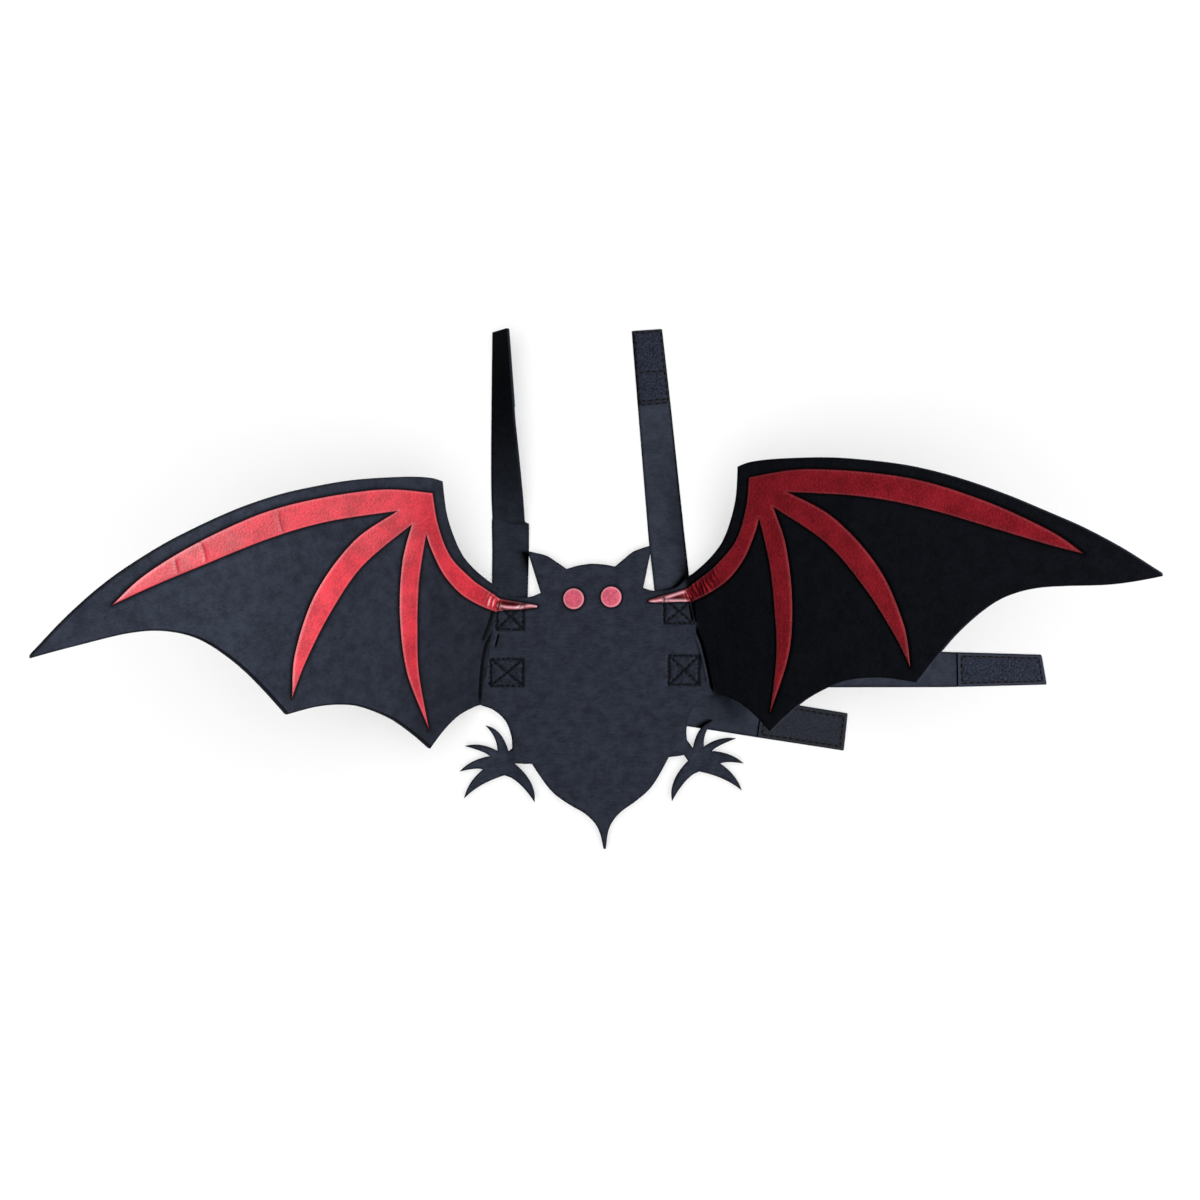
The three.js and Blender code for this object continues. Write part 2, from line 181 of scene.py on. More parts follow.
# Waves of the felt: heights on the body, of the small ones on the wings, and where beyond a fold they grow
BODY_WAVE = 0.1
BODY_RIPPLE = 0.06
WING_RIPPLE = 0.2
WAVES_START = 6
WAVES_SOFT = 40

# Pressed lines near the folds: the places that each goes through, how deep and how wide it is.
# A line with a depth below zero is a raised lip beside a groove.
GROOVES = [
    {
        "through": [(-59.2, -26.5), (-57.8, -13.5), (-56.5, -5.3), (-55.1, 0.8), (-52.9, 6.5), (-51.2, 10.4)],
        "deep": 2.0, "wide": 0.55,
    },
    {"through": [(-56.2, 4.6), (-53.2, 11.5), (-51.2, 16.8), (-50.0, 20.6)], "deep": 1.9, "wide": 0.5},
    {"through": [(-49.6, 1.2), (-48.5, 4.8), (-47.4, 8.2)], "deep": 1.2, "wide": 0.45},
    {"through": [(-54.3, -16.8), (-51.3, -15.4)], "deep": 0.8, "wide": 0.5},
    {"through": [(-58.2, 8.0), (-56.4, 14.5)], "deep": 0.3, "wide": 0.6},
    {
        "through": [(57.2, -26.4), (56.7, -22.9), (55.2, -12.1), (53.5, -3.1), (51.6, 2.8), (50.3, 7.8)],
        "deep": 2.1, "wide": 0.75,
    },
    {"through": [(48.6, 10.0), (48.2, 13.7), (47.6, 18.5)], "deep": 1.3, "wide": 0.5},
    {"through": [(50.9, 9.0), (50.3, 14.0), (49.6, 19.0)], "deep": 1.3, "wide": 0.5},
    {"through": [(55.4, -23.0), (53.6, -12.1), (51.8, -3.1), (49.8, 2.8)], "deep": -0.6, "wide": 0.8},
    {"through": [(-54.4, 4.9), (-52.2, 10.2), (-50.2, 14.6)], "deep": -0.5, "wide": 0.55},
    {"through": [(-55.4, -14.0), (-53.9, -5.3), (-52.4, 1.4)], "deep": -0.4, "wide": 0.6},
]
GROOVE_TAPER = 0.12

# Boxes with a cross sewn through the felt and the strap ends under it
SEWN_BOXES = [
    {"x": -41.4, "y": 16.4, "width": 13.3, "height": 12.8},
    {"x": -44.4, "y": -11.2, "width": 16.0, "height": 13.2},
    {"x": 42.3, "y": 15.0, "width": 14.3, "height": 12.0},
    {"x": 43.5, "y": -14.4, "width": 14.9, "height": 14.5},
]
BOX_PASSES = 3
BOX_ASKEW = 0.4
BOX_UNEVEN = 0.6
BOX_THREAD_TINT = 1.4
BOX_SUNK = {"in_felt": 0.5, "in_film": 0.8}
SEWN_DEEP = 0.8
SEWN_WIDE = 0.75

# A stitch: the part of its pitch that shows, how far it is sunk and rises, and how thin it is at its ends.
# Its rise and its thickness follow an arch raised to the powers steep and full.
STITCH_SHOWS = (0.1, 0.82)
STITCH_STEPS = 7
STITCH = {"shift": 0.06, "sunk": 0.55, "rise": 0.62, "steep": 0.6, "uneven": 0.03, "thin": 0.55, "full": 0.5}
STITCH_SIDES = 6
# A thread steeper than this has its section set out from a level direction, and not from straight up
UPRIGHT = 0.8

# Points of the felt's mesh: steps of its grids and its outline, rings beside the film's edges, how far the
# fine grid reaches beside grooves and boxes, and the gaps kept between points
FELT_STEP = 1.5
FINE_STEP = 0.4
EDGE_STEP = 1.1
FILM_RINGS = (-2.3, -1.6, -1.0, -0.5, -0.05, 0.45, 1.0)
FINE_BESIDE = {"groove_box": 4, "grooves": 3.0, "boxes": 1.6}
FELT_GAPS = {"snap": 0.01, "fine": 0.8, "coarse": 0.9, "outline": 0.7}

# Rounded edges of sheets: how far each row is set in, and its height from the lower face (0) to the upper (1)
FELT_RIM = [(0.3, 0.96), (0.0, 0.84), (0.0, 0.5), (0.0, 0.16), (0.3, 0.04)]
FILM_SIDE = [(0.3, 0.9), (0.0, 0.5), (0.3, 0.1)]
STRIP_CORNER = [(1.0, 1.0), (0.3, 0.88), (0.0, 0.62)]
# The most that a narrow place of a sheet is rounded, as a share of its width
MOST_ROUNDING = 0.3

# Painted shade and light of the felt on each wing, darker near the roots and over the right wing and lighter
# at the left wing's tip: how far beyond the fold, and the share of the felt's colour there
WING_PAINTED_SHADING = {
    "left": [
        (-1.5, 1.0), (0.5, 0.48), (8, 0.54), (28, 0.57), (42, 0.84), (60, 0.82), (88, 0.92), (102, 1.12),
        (150, 1.09),
    ],
    "right": [(-1.5, 1.0), (0.5, 0.38), (60, 0.38), (150, 0.4), (190, 0.46)],
}
NAP_DRIFT = 0.06
# Painted light on the left foot, which hangs away from the window
LEFT_FOOT_PAINTED_LIGHT = 0.22
# Painted shade on the felt's cut edges and along the outline of its upper face
CUT_EDGE_PAINTED_SHADE = 0.75
OUTLINE_PAINTED_SHADE = 0.6
# Painted shade in the sewn lines and in flecks between the puckers inside the sewn boxes
SEWN_PAINTED_SHADE = 0.35
BOX_PAINTED_SHADE_FLECKS = {"level": 0.16, "uneven": 0.5, "most": 0.5}
GROOVE_SHADE = {"dark": 0.92, "wider": 1.15, "full_at": 1.5}
# The left wing's outline is dark where it turns away from the window
SHADED_EDGE = {"faces": (-0.75, -0.66), "beyond_x": -60.0, "dark": 0.92, "wide": 0.75, "ends": 1.2}

# The film: which piece each CAD node becomes, its points, and how it lies in the pressed felt
FILMS = {
    "bone_print_left": "bone_film_left",
    "bone_print_right": "bone_film_right",
    "eye_left": "eye_left_film",
    "eye_right": "eye_right_film",
}
FILM_STEP = 0.8
FILM_GRID = {"coarse": 1.2, "fine": 0.42, "between": 0.9, "from_edge": 1.35}
FILM_FINE_REACH = (-32, 19)
FILM_FINE_SHARE = 0.01
FILM_INSETS = (1.05, 0.7, 0.35)
INSET_GAP = 0.9
FILM_ROUNDING = 0.15
FILM_CLEAR = 0.02
FILM_FOLLOWS = {"pressed": 0.8, "edges": 0.3, "ripples": 0.25}
# The felt is pressed in along the film's edges and has painted shade there: depth, width, and the dark share
# with its width
FILM_EDGE = {"deep": 0.3, "wide": 0.55, "dark": 0.92, "dark_wide": 1.05}
# A painted highlight just inside the film's edge: where, how wide, its share on the bones and the eyes, and
# the pale colour that it and the streaks mix in
FILM_RIM = {"at": 0.5, "wide": 0.32, "on_bones": 0.1, "on_eyes": 0.5, "colour": (0.9, 0.5, 0.56)}
FILM_CREASES = [
    [(-135.2, 67.6), (-135.1, 63.0), (-134.0, 58.5)],
    [(-163.8, 54.6), (-162.9, 50.5), (-162.8, 46.2)],
    [(-173.2, 47.7), (-172.9, 44.0), (-172.1, 40.6)],
]
FILM_CREASE = {"deep": 0.16, "wide": 0.5}
# Raised streaks along the film's inner ends, where it is creased lengthwise, with painted highlights on them
# and painted shade beside them
FILM_STREAKS = [
    [(-45.5, 21.7), (-42.6, 21.1), (-39.1, 20.7), (-36.5, 20.5)],
    [(-35.8, 20.6), (-33.8, 21.0), (-31.2, 21.2), (-28.1, 20.8)],
    [(28.8, 20.3), (30.7, 20.4), (33.5, 20.8)],
    [(36.5, 20.4), (40.1, 20.2), (43.4, 20.1), (46.1, 20.0)],
    [(36.6, 22.0), (39.6, 22.8), (42.4, 23.6), (45.2, 24.3)],
]
FILM_STREAK = {"tall": 1.1, "wide": 0.6, "pale": 0.85, "dark": 0.78, "within": (20, 50), "soft": 6}
# Ripples across the arm: their pitch and height, and how far beyond the fold they start and end.
# Where those at the fold end is given for each wing.
FOLD_RIPPLES = (2.0, 1.0, -5.0)
INNER_RIPPLES = (4.6, 0.4, -30.0, -3.5)
RIPPLE_ABOVE = 30
RIPPLE_SOFT = 4
RIPPLE = {"slant": 0.2, "wander": 2.6, "sharp": 1.4, "level": 0.75, "uneven": 0.9, "least": 0.1, "most": 1.5}
# Painted shade of the film on and beyond the left wing's fold, and what darkens it: painted shade at its
# edge, between its ripples and in its creases, and darker sewn lines
FILM_PAINTED_SHADE = [(-40, 1.0), (-4, 0.95), (6, 0.82), (32, 0.82), (48, 0.88), (70, 0.97)]
FILM_DARK = {"edge": 0.5, "edge_wide": 0.22, "valleys": 0.5, "valley_full": 1.6, "creases": 0.3, "sewn": 0.6}
FINGERS_PALER = {"by": 0.12, "below": 62, "beyond": 30, "soft": 20}
ARM_GLOSS = {"share": 0.9, "from": -40, "to": 48, "soft": 12}
FINGER_GLOSS = {"share": 0.75, "below": 74, "soft": 14}
FLAT_BUMP = 0.35
CREASED_BUMP = 0.06
CREASED_ROUGH = 0.27

# Straps, a row for each place: x, y and z of its middle, the direction of its width, its lean and its width
STRAP = 1.2
ON_FLOOR = 0.6
SEWN_ON = 2.1
HEIGHT, ACROSS, LEAN, WIDTH = 2, 3, 4, 5
STRAP_ROWS = {
    "neck_strap_right": [
        (41.2, 7.5, SEWN_ON, 183, 0, 18),
        (40, 27, SEWN_ON, 183, 0, 18),
        (38.5, 52, ON_FLOOR, 183, 0, 18),
        (35.6, 118, ON_FLOOR, 182, 0, 16.4),
        (33.8, 155.7, ON_FLOOR, 181, 0, 15.2),
    ],
    "neck_strap_left": [
        (-42.3, 7.5, SEWN_ON, 177, 0, 18),
        (-41, 27, SEWN_ON, 177, 0, 18),
        (-39.6, 50, ON_FLOOR, 177, 0, 18.4),
        (-39, 62.8, 1.6, 177, 6, 18.8),
        (-39.75, 64.4, 2.8, 177, 15, 16.9),
        (-39.7, 84, 6.1, 177, 34, 18.6),
        (-39.6, 112, 8.2, 177, 48, 18.6),
        (-38.8, 157.5, 10, 177, 63, 18),
    ],
    "belly_strap_right": [
        (34, -13.9, SEWN_ON, 87, 0, 18),
        (54, -14.9, SEWN_ON, 87, 0, 18),
        (82, -16.3, ON_FLOOR, 87, 0, 18),
        (175, -20.9, ON_FLOOR, 87, 0, 17.6),
        (223.3, -23.3, ON_FLOOR, 97, 0, 15.2),
    ],
    "belly_strap_left": [
        (-35, -11.5, SEWN_ON, 270, 0, 18),
        (-57, -12.4, SEWN_ON, 264, 0, 18),
        (-57.38, -12.4, 2.0, 263, 0, 18),
        (-57.65, -12.4, 1.72, 262, 0, 18),
        (-57.75, -12.4, 1.35, 262, 0, 18),
        (-57.65, -12.4, 0.98, 262, 0, 18),
        (-57.38, -12.4, 0.7, 261, 0, 18),
        (-57, -12.4, ON_FLOOR, 260, 0, 18),
        (-49, -14, ON_FLOOR, 258.4, 0, 18),
        (78, -40.1, ON_FLOOR, 258.4, 0, 19.2),
        (122.9, -49.5, ON_FLOOR, 261, 0, 18.8),
    ],
}
STRAP_ROUNDING = 0.35
STRAP_COLUMNS = 15
STRAP_FUZZ = 0.08
# Painted light and shade of each strap: shares of its length with the tone there, and of its two cut edges,
# painted shade, with its face between
STRAP_PAINTED_SHADING = {
    "neck_strap_right": {"face": [(0.0, 1.3)], "edges": (0.08, 1.0, 0.6)},
    "neck_strap_left": {
        "face": [(0.0, 0.74), (0.4, 0.76), (0.55, 1.1), (0.7, 1.1), (0.95, 0.5)], "edges": (0.5, 1.0, 0.6),
    },
    "belly_strap_right": {"face": [(0.0, 1.1)], "edges": (0.5, 1.0, 0.5)},
    "belly_strap_left": {"face": [(0.0, 1.0)], "edges": (0.5, 1.0, 0.5)},
}

# Patches: strap and face (1 is upwards as sewn), length, pile, inset of the seam, and lines sewn across
PATCHES = {
    "neck_patch_right": {
        "strap": "neck_strap_right", "face": 1, "length": 38, "pile": "loop", "inset": 1.1,
        "lines": [21.0, 35.2],
    },
    "neck_patch_left": {
        "strap": "neck_strap_left", "face": -1, "length": 38, "pile": "hook", "inset": 3.2, "lines": [],
    },
    "belly_patch_right": {
        "strap": "belly_strap_right", "face": 1, "length": 43, "pile": "loop", "inset": 1.9, "lines": [],
    },
    "belly_patch_left": {
        "strap": "belly_strap_left", "face": -1, "length": 43, "pile": "hook", "inset": 1.9, "lines": [],
    },
}
PATCH_STEP = 0.5
TAPE_LOW = STRAP / 2 + 0.05
TAPE_TOP = STRAP / 2 + 0.75
TAPE_INSET = 0.6
TAPE_ROUNDING = 0.2
TAPE_COLUMNS = 37
SEAM = {"dark": 0.9, "wide": 0.7, "steps": 30, "uneven": 0.15}
SEAM_STITCH = {"pitch": 3.2, "thread": 0.82, "lift": 0.6, "sunk": 0.1}
# Pile: tint of its tape, how far apart hairs stand, their height, and their share of a half circle
PILE = {
    "hook": {"tint": 0.5, "apart": 0.9, "tall": 0.6, "turn": 0.72},
    "loop": {"tint": 1.0, "apart": 0.64, "tall": 1.0, "turn": 1.0},
}
PILE_TINT = 1.4
HAIR_SIDES = 3
HAIR_STEPS = 7
HAIR_WIDE = (0.3, 0.5)
HAIR_TALL = (0.6, 1.0)
HAIR = {"first": 1.2, "last": 1.0, "side": 1.5, "astray": 0.27, "clear": 0.7, "border": 0.6, "sunk": 0.15}
HAIR_RADIUS = 0.075

PATCH_SEED = 11
BOX_SEED = 7

# Fibres in the felt: the scale of their texture along and across them, the two directions they lie in, and
# how much finer the second ones are
FIBRE_SCALE = (0.22, 1, 1)
FIBRE_TURNS_DEG = (35, -50)
FIBRE_FINER = 1.15
# Twist of the thread: places on its wave, and the tint there
TWIST = [(0.2, 0.6), (0.8, 1.5)]


class HarnessSizes(bpy.types.PropertyGroup):
    """Sizes that a maker of the harness would change."""

    felt_thickness: bpy.props.FloatProperty(
        name="Felt thickness", description="Thickness of the pressed felt", default=0.003, unit="LENGTH"
    )
    edge_rounding: bpy.props.FloatProperty(
        name="Edge rounding", description="How far the cut edge is rounded", default=0.00045, unit="LENGTH"
    )
    wing_waves: bpy.props.FloatProperty(
        name="Wing waves", description="Height of the slow waves in the wings", default=0.0009, unit="LENGTH"
    )
    film_thickness: bpy.props.FloatProperty(
        name="Film thickness", description="Thickness of the red film", default=0.00028, unit="LENGTH"
    )
    film_wrinkles: bpy.props.FloatProperty(
        name="Film wrinkles", description="Height of the wrinkles at the folds", default=0.0004, unit="LENGTH"
    )
    thread: bpy.props.FloatProperty(
        name="Thread", description="Thickness of the sewing thread", default=0.00048, unit="LENGTH"
    )
    stitch: bpy.props.FloatProperty(
        name="Stitch", description="Length of one stitch with its gap", default=0.0026, unit="LENGTH"
    )
    pile_height: bpy.props.FloatProperty(
        name="Pile height", description="Height of the loops and hooks", default=0.0007, unit="LENGTH"
    )


class HarnessColours(bpy.types.PropertyGroup):
    """Colours that a maker of the harness would change."""

    felt: bpy.props.FloatVectorProperty(
        name="Felt", description="Colour of the felt", default=(0.022, 0.026, 0.039), subtype="COLOR"
    )
    strap: bpy.props.FloatVectorProperty(
        name="Straps", description="Colour of the straps", default=(0.024, 0.029, 0.042), subtype="COLOR"
    )
    fastener: bpy.props.FloatVectorProperty(
        name="Fasteners", description="Colour of the patches", default=(0.021, 0.027, 0.05), subtype="COLOR"
    )
    film: bpy.props.FloatVectorProperty(
        name="Film", description="Colour of the wing bones", default=(0.52, 0.024, 0.04), subtype="COLOR"
    )
    eyes: bpy.props.FloatVectorProperty(
        name="Eyes", description="Colour of the eyes", default=(0.6, 0.1, 0.155), subtype="COLOR"
    )
    thread: bpy.props.FloatVectorProperty(
        name="Thread", description="Colour of the thread", default=(0.004, 0.0045, 0.0065), subtype="COLOR"
    )
    floor: bpy.props.FloatVectorProperty(
        name="Floor", description="Colour of the floor", default=(0.86, 0.86, 0.86), subtype="COLOR"
    )


def in_mm(length):
    """A length property in millimetres."""
    return length / MM


# Numbers and lines


def unit(rows):
    """Rows of vectors, each made one long."""
    return rows / np.maximum(np.linalg.norm(rows, axis=1, keepdims=True), TINY)


def rising(value, soft):
    """A share that goes evenly from 0 at no value to 1 at a soft length."""
    return np.clip(value / soft, 0, 1)


def eased(share):
    """A share kept from 0 to 1, with a soft start and end."""
    share = np.clip(share, 0, 1)
    return share * share * (3 - 2 * share)


def bell(away, wide):
    """1 at no distance, falling softly to 0 beyond a width."""
    return np.exp(-((away / wide) ** 2))


def lumps(kind, points):
    """Soft lumps over plan points, from about -1 to 1."""
    across, along, seed = LUMPS[kind]
    return np.array([noise.noise((x / across, y / along, seed)) for x, y in points])


def travelled(line):
    """Distance along a line at each of its places."""
    return np.concatenate([[0.0], np.cumsum(np.linalg.norm(np.diff(line, axis=0), axis=1))])


def found_at(distance, along, rows):
    """The rows between those at known distances along a line."""
    return np.stack([np.interp(distance, along, column) for column in rows.T], axis=1)


def inside(loop, points):
    """Which points lie inside a closed loop."""
    found = np.zeros(len(points), bool)
    x, y = points[:, 0], points[:, 1]
    for (ax, ay), (bx, by) in zip(loop, np.roll(loop, -1, axis=0)):
        crosses = (ay > y) != (by > y)
        if crosses.any():
            found ^= crosses & (x < ax + (bx - ax) * (y - ay) / (by - ay if by != ay else 1.0))
    return found


def distance_to(line, points, closed=False):
    """Distance of each point from a line, and how far along the line the nearest place is, from 0 to 1."""
    line = np.asarray(line, float)
    if closed:
        line = np.vstack([line, line[:1]])
    before = travelled(line)
    best = np.full(len(points), np.inf)
    along = np.zeros(len(points))
    for a, b, start, end in zip(line, line[1:], before, before[1:]):
        step = b - a
        share = np.clip((points - a) @ step / max(step @ step, TINY**2), 0, 1)
        away = np.linalg.norm(points - a - share[:, None] * step, axis=1)
        nearer = away < best
        best[nearer] = away[nearer]
        along[nearer] = (start + share[nearer] * (end - start)) / before[-1]
    return best, along


def smooth_line(points, step):
    """A smooth line through points, with places about one step apart."""
    points = np.asarray(points, float)
    first, last = 2 * points[0] - points[1], 2 * points[-1] - points[-2]
    padded = np.vstack([first, points, last])
    fine = []
    for a, b, c, d in zip(padded, padded[1:], padded[2:], padded[3:]):
        count = max(1, int(math.ceil(np.linalg.norm(c - b) / (CURVE_SHARE * step))))
        t = (np.arange(count) / count)[:, None]
        curve = (2 * a - 5 * b + 4 * c - d) * t**2 + (3 * b - a - 3 * c + d) * t**3
        fine.append(0.5 * (2 * b + (c - a) * t + curve))
    fine = np.vstack([*fine, points[-1:]])
    along = travelled(fine)
    at = np.linspace(0, along[-1], max(2, int(round(along[-1] / step)) + 1))
    return found_at(at, along, fine)


def smooth_loop(loop, step):
    """A closed loop made smooth between its corners."""
    ahead = unit(np.roll(loop, -1, axis=0) - loop)
    behind = np.roll(ahead, 1, axis=0)
    turn = np.degrees(np.arccos(np.clip((ahead * behind).sum(axis=1), -1, 1)))
    corners = np.flatnonzero(turn > CORNER_DEG)
    if len(corners) == 0:
        closed = np.vstack([loop, loop[:1]])
        return smooth_line(closed, step)[:-1]
    pieces = []
    for a, b in zip(corners, np.append(corners[1:], corners[0] + len(loop))):
        run = loop[np.arange(a, b + 1) % len(loop)]
        pieces.append(smooth_line(run, step)[:-1])
    return np.vstack(pieces)


def counter_clockwise(loop):
    """The loop with its inside on the left."""
    x, y = loop[:, 0], loop[:, 1]
    area = np.sum(x * np.roll(y, -1) - np.roll(x, -1) * y)
    return loop if area > 0 else loop[::-1]


def inward(loop):
    """Direction into the loop at each of its points."""
    ahead = unit(np.roll(loop, -1, axis=0) - loop)
    tangent = unit(ahead + np.roll(ahead, 1, axis=0))
    return np.stack([-tangent[:, 1], tangent[:, 0]], axis=1)


def width_inside(loop, into):
    """How wide the shape is at each point of its loop, in the direction into it."""
    steps = np.roll(loop, -1, axis=0) - loop
    wide = np.full(len(loop), np.inf)
    for i, (point, direction) in enumerate(zip(loop, into)):
        cross = direction[0] * steps[:, 1] - direction[1] * steps[:, 0]
        cross = np.where(np.abs(cross) < TINY, TINY, cross)
        gap = loop - point
        reach = (gap[:, 0] * steps[:, 1] - gap[:, 1] * steps[:, 0]) / cross
        share = (gap[:, 0] * direction[1] - gap[:, 1] * direction[0]) / cross
        met = (reach > TOUCHING) & (share >= 0) & (share <= 1)
        if met.any():
            wide[i] = reach[met].min()
    return wide


def grid_points(low, high, step):
    """Points of a triangular grid in a box."""
    rise = step * math.sqrt(0.75)
    rows = []
    for k, y in enumerate(np.arange(low[1], high[1], rise)):
        x = np.arange(low[0] + (0.5 * step if k % 2 else 0), high[0], step)
        rows.append(np.stack([x, np.full(len(x), y)], axis=1))
    return np.vstack(rows)


def tree_of(points):
    """Plan points made ready for finding the nearest."""
    tree = kdtree.KDTree(len(points))
    for index, (x, y) in enumerate(points):
        tree.insert((x, y, 0), index)
    tree.balance()
    return tree


def nearest(tree, points):
    """Distance from each point to the nearest one of a tree."""
    return np.array([tree.find((x, y, 0))[2] for x, y in points])


def far_from(points, others, gap):
    """The points that are further than a gap from all others."""
    return points[nearest(tree_of(others), points) > gap]


def triangulated(loop, points):
    """Triangles that fill a loop, using the points inside it: places and corner numbers, the loop's first."""
    coords = [Vector(p) for p in np.vstack([loop, points])]
    made = geometry.delaunay_2d_cdt(coords, [], [list(range(len(loop)))], FILL_INSIDE, FILL_GAP)
    places, _, faces, origins = made[:4]
    order = {source: i for i, sources in enumerate(origins) for source in sources}
    numbers = [order[i] for i in range(len(loop))]
    on_loop = set(numbers)
    rest = [i for i in range(len(places)) if i not in on_loop]
    new_number = {old: new for new, old in enumerate(numbers + rest)}
    flat = np.array([places[i] for i in numbers + rest], float)
    return flat, np.array([[new_number[i] for i in face] for face in faces], int)


# The felt as it lies


def crease_place(wing, points):
    """How far points are beyond a wing's fold, and how far along it."""
    x, y = wing["side"] * points[:, 0] - CREASE_X, points[:, 1] - CREASE_Y
    lean = wing["lean"]
    return x * math.cos(lean) + y * math.sin(lean), y * math.cos(lean) - x * math.sin(lean)


def beyond_fold(reach, along):
    """Whether places are on a wing and not on the foot below it."""
    return along > FOOT_CUT - FOOT_SLOPE * np.maximum(reach, 0)


def droop(points):
    """How far the feet and the tail hang below the body."""
    x, y = np.abs(points[:, 0]), points[:, 1]
    soft_x, soft_y = FOOT_SOFT
    feet = FOOT_DROOP * eased((x - FOOT_X) / soft_x) * eased((FOOT_Y - y) / soft_y)
    for wing in WINGS.values():
        reach, along = crease_place(wing, points)
        feet = np.where((reach > -BEND) & beyond_fold(reach, along), 0, feet)
    return feet + TAIL_DROOP * eased((TAIL_Y - y) / TAIL_SOFT)


def middle_of_sheet(points):
    """Middle of the felt over plan points, with the direction that its upper face looks in."""
    height = FELT_MIDDLE - droop(points)
    slope_x, slope_y = np.zeros(len(points)), np.zeros(len(points))
    for wing in WINGS.values():
        reach, along = crease_place(wing, points)
        on_wing = (reach > -BEND) & beyond_fold(reach, along)
        root = wing["fold"]
        sine = np.clip(math.sin(root) - WING_SAG * reach, LEAST_SINE, 1)
        beyond_rise = (np.sqrt(1 - sine**2) - math.cos(root)) / WING_SAG
        beyond_steep = sine / np.sqrt(1 - sine**2)
        bend_rise = math.tan(root) * (reach + BEND) ** 2 / (4 * BEND)
        bend_steep = math.tan(root) * (reach + BEND) / (2 * BEND)
        rise = np.where(reach > BEND, beyond_rise, bend_rise)
        steep = np.where(reach > BEND, beyond_steep, bend_steep)
        height = height + np.where(on_wing, rise, 0)
        slope_x = slope_x + np.where(on_wing, steep * wing["side"] * math.cos(wing["lean"]), 0)
        slope_y = slope_y + np.where(on_wing, steep * math.sin(wing["lean"]), 0)
    normal = unit(np.stack([-slope_x, -slope_y, np.ones(len(points))], axis=1))
    return np.column_stack([points, height]), normal


def waves(points, wing_waves):
    """Slow waves of the sheet: small on the body, larger well beyond the folds."""
    share = np.zeros(len(points))
    for wing in WINGS.values():
        reach, along = crease_place(wing, points)
        on_wing = rising(reach - WAVES_START, WAVES_SOFT)
        share = np.maximum(share, np.where(beyond_fold(reach, along), on_wing, 0))
    large = lumps("large waves", points) * (BODY_WAVE + (wing_waves - BODY_WAVE) * share)
    small = lumps("small waves", points) * (BODY_RIPPLE + (WING_RIPPLE - BODY_RIPPLE) * share)
    return large + small


def on_felt(points, height, wing_waves):
    """Places at heights above the felt's middle, over plan points."""
    middle, normal = middle_of_sheet(points)
    return middle + normal * (height + waves(points, wing_waves))[:, None]


def line_share(lines, wide, points):
    """How near points are to some lines: 1 on one, 0 away from them."""
    share = np.zeros(len(points))
    for line in lines:
        away, _ = distance_to(line, points)
        share = np.maximum(share, bell(away, wide))
    return share


def box_lines(box):
    """The lines of a sewn box: its four sides and two diagonals."""
    cosine, sine = math.cos(VIEW_TURN), math.sin(VIEW_TURN)
    turn = np.array([[cosine, -sine], [sine, cosine]])
    half = np.array([box["width"], box["height"]]) / 2
    signs = np.array([[-1, -1], [1, -1], [1, 1], [-1, 1]])
    corners = (signs * half) @ turn.T + [box["x"], box["y"]]
    sides = [(corners[i], corners[(i + 1) % 4]) for i in range(4)]
    return [*sides, (corners[0], corners[2]), (corners[1], corners[3])]


def groove_depth(points, wider=1.0):
    """How far the folds' grooves press the upper face in."""
    depth = np.zeros(len(points))
    for groove in GROOVES:
        away, along = distance_to(smooth_line(groove["through"], LINE_STEP), points)
        taper = rising(np.minimum(along, 1 - along), GROOVE_TAPER)
        depth += groove["deep"] * taper * bell(away, wider * groove["wide"])
    return depth


def sewn_share(points):
    """How near points are to a sewn line: 1 on it, 0 away from it."""
    return line_share([line for box in SEWN_BOXES for line in box_lines(box)], SEWN_WIDE, points)


def in_box(points):
    """1 inside a sewn box and 0 outside."""
    found = np.zeros(len(points))
    for box in SEWN_BOXES:
        away = np.abs(points - [box["x"], box["y"]])
        found = np.maximum(found, (away[:, 0] < box["width"] / 2) & (away[:, 1] < box["height"] / 2))
    return found


def pressed(points):
    """How far the upper face is pressed in by the folds' grooves and the sewn lines."""
    return groove_depth(points) + SEWN_DEEP * sewn_share(points)


def edge_dip(points):
    """How far the upper face is pressed in along the film's edges."""
    return FILM_EDGE["deep"] * bell(film_edge_distance(points), FILM_EDGE["wide"])


def cut_edge(node):
    """The middle line of a CAD sheet's cut edge, in order, in pattern millimetres."""
    mesh = bmesh.new()
    mesh.from_mesh(frame["nodes"][node].data)
    bmesh.ops.remove_doubles(mesh, verts=mesh.verts, dist=MERGE)
    first = max(mesh.faces, key=lambda face: face.normal.z * face.calc_area())
    upper, waiting = {first}, [first]
    while waiting:
        face = waiting.pop()
        for edge in face.edges:
            for other in edge.link_faces:
                if other not in upper and face.normal.dot(other.normal) > SAME_SKIN:
                    upper.add(other)
                    waiting.append(other)
    skin = {vert for face in upper for vert in face.verts}
    following = {}
    for face in upper:
        for loop in face.loops:
            if sum(other in upper for other in loop.edge.link_faces) == 1:
                following[loop.vert] = loop.link_loop_next.vert
    # The point furthest left starts the line, so that each run gives the same one
    start = min(following, key=lambda vert: tuple(vert.co))
    ring, vert = [start], following[start]
    while vert is not start:
        ring.append(vert)
        vert = following[vert]
    if len(ring) != len(following):
        raise RuntimeError(f"the cut edge of {node} isn't one closed line")
    middles = []
    for vert in ring:
        under = [edge.other_vert(vert) for edge in vert.link_edges if edge.other_vert(vert) not in skin]
        partner = min(under, key=lambda other: (other.co - vert.co).length)
        middles.append((vert.co + partner.co) / 2)
    mesh.free()
    return np.array(middles) / MM - ORIGIN


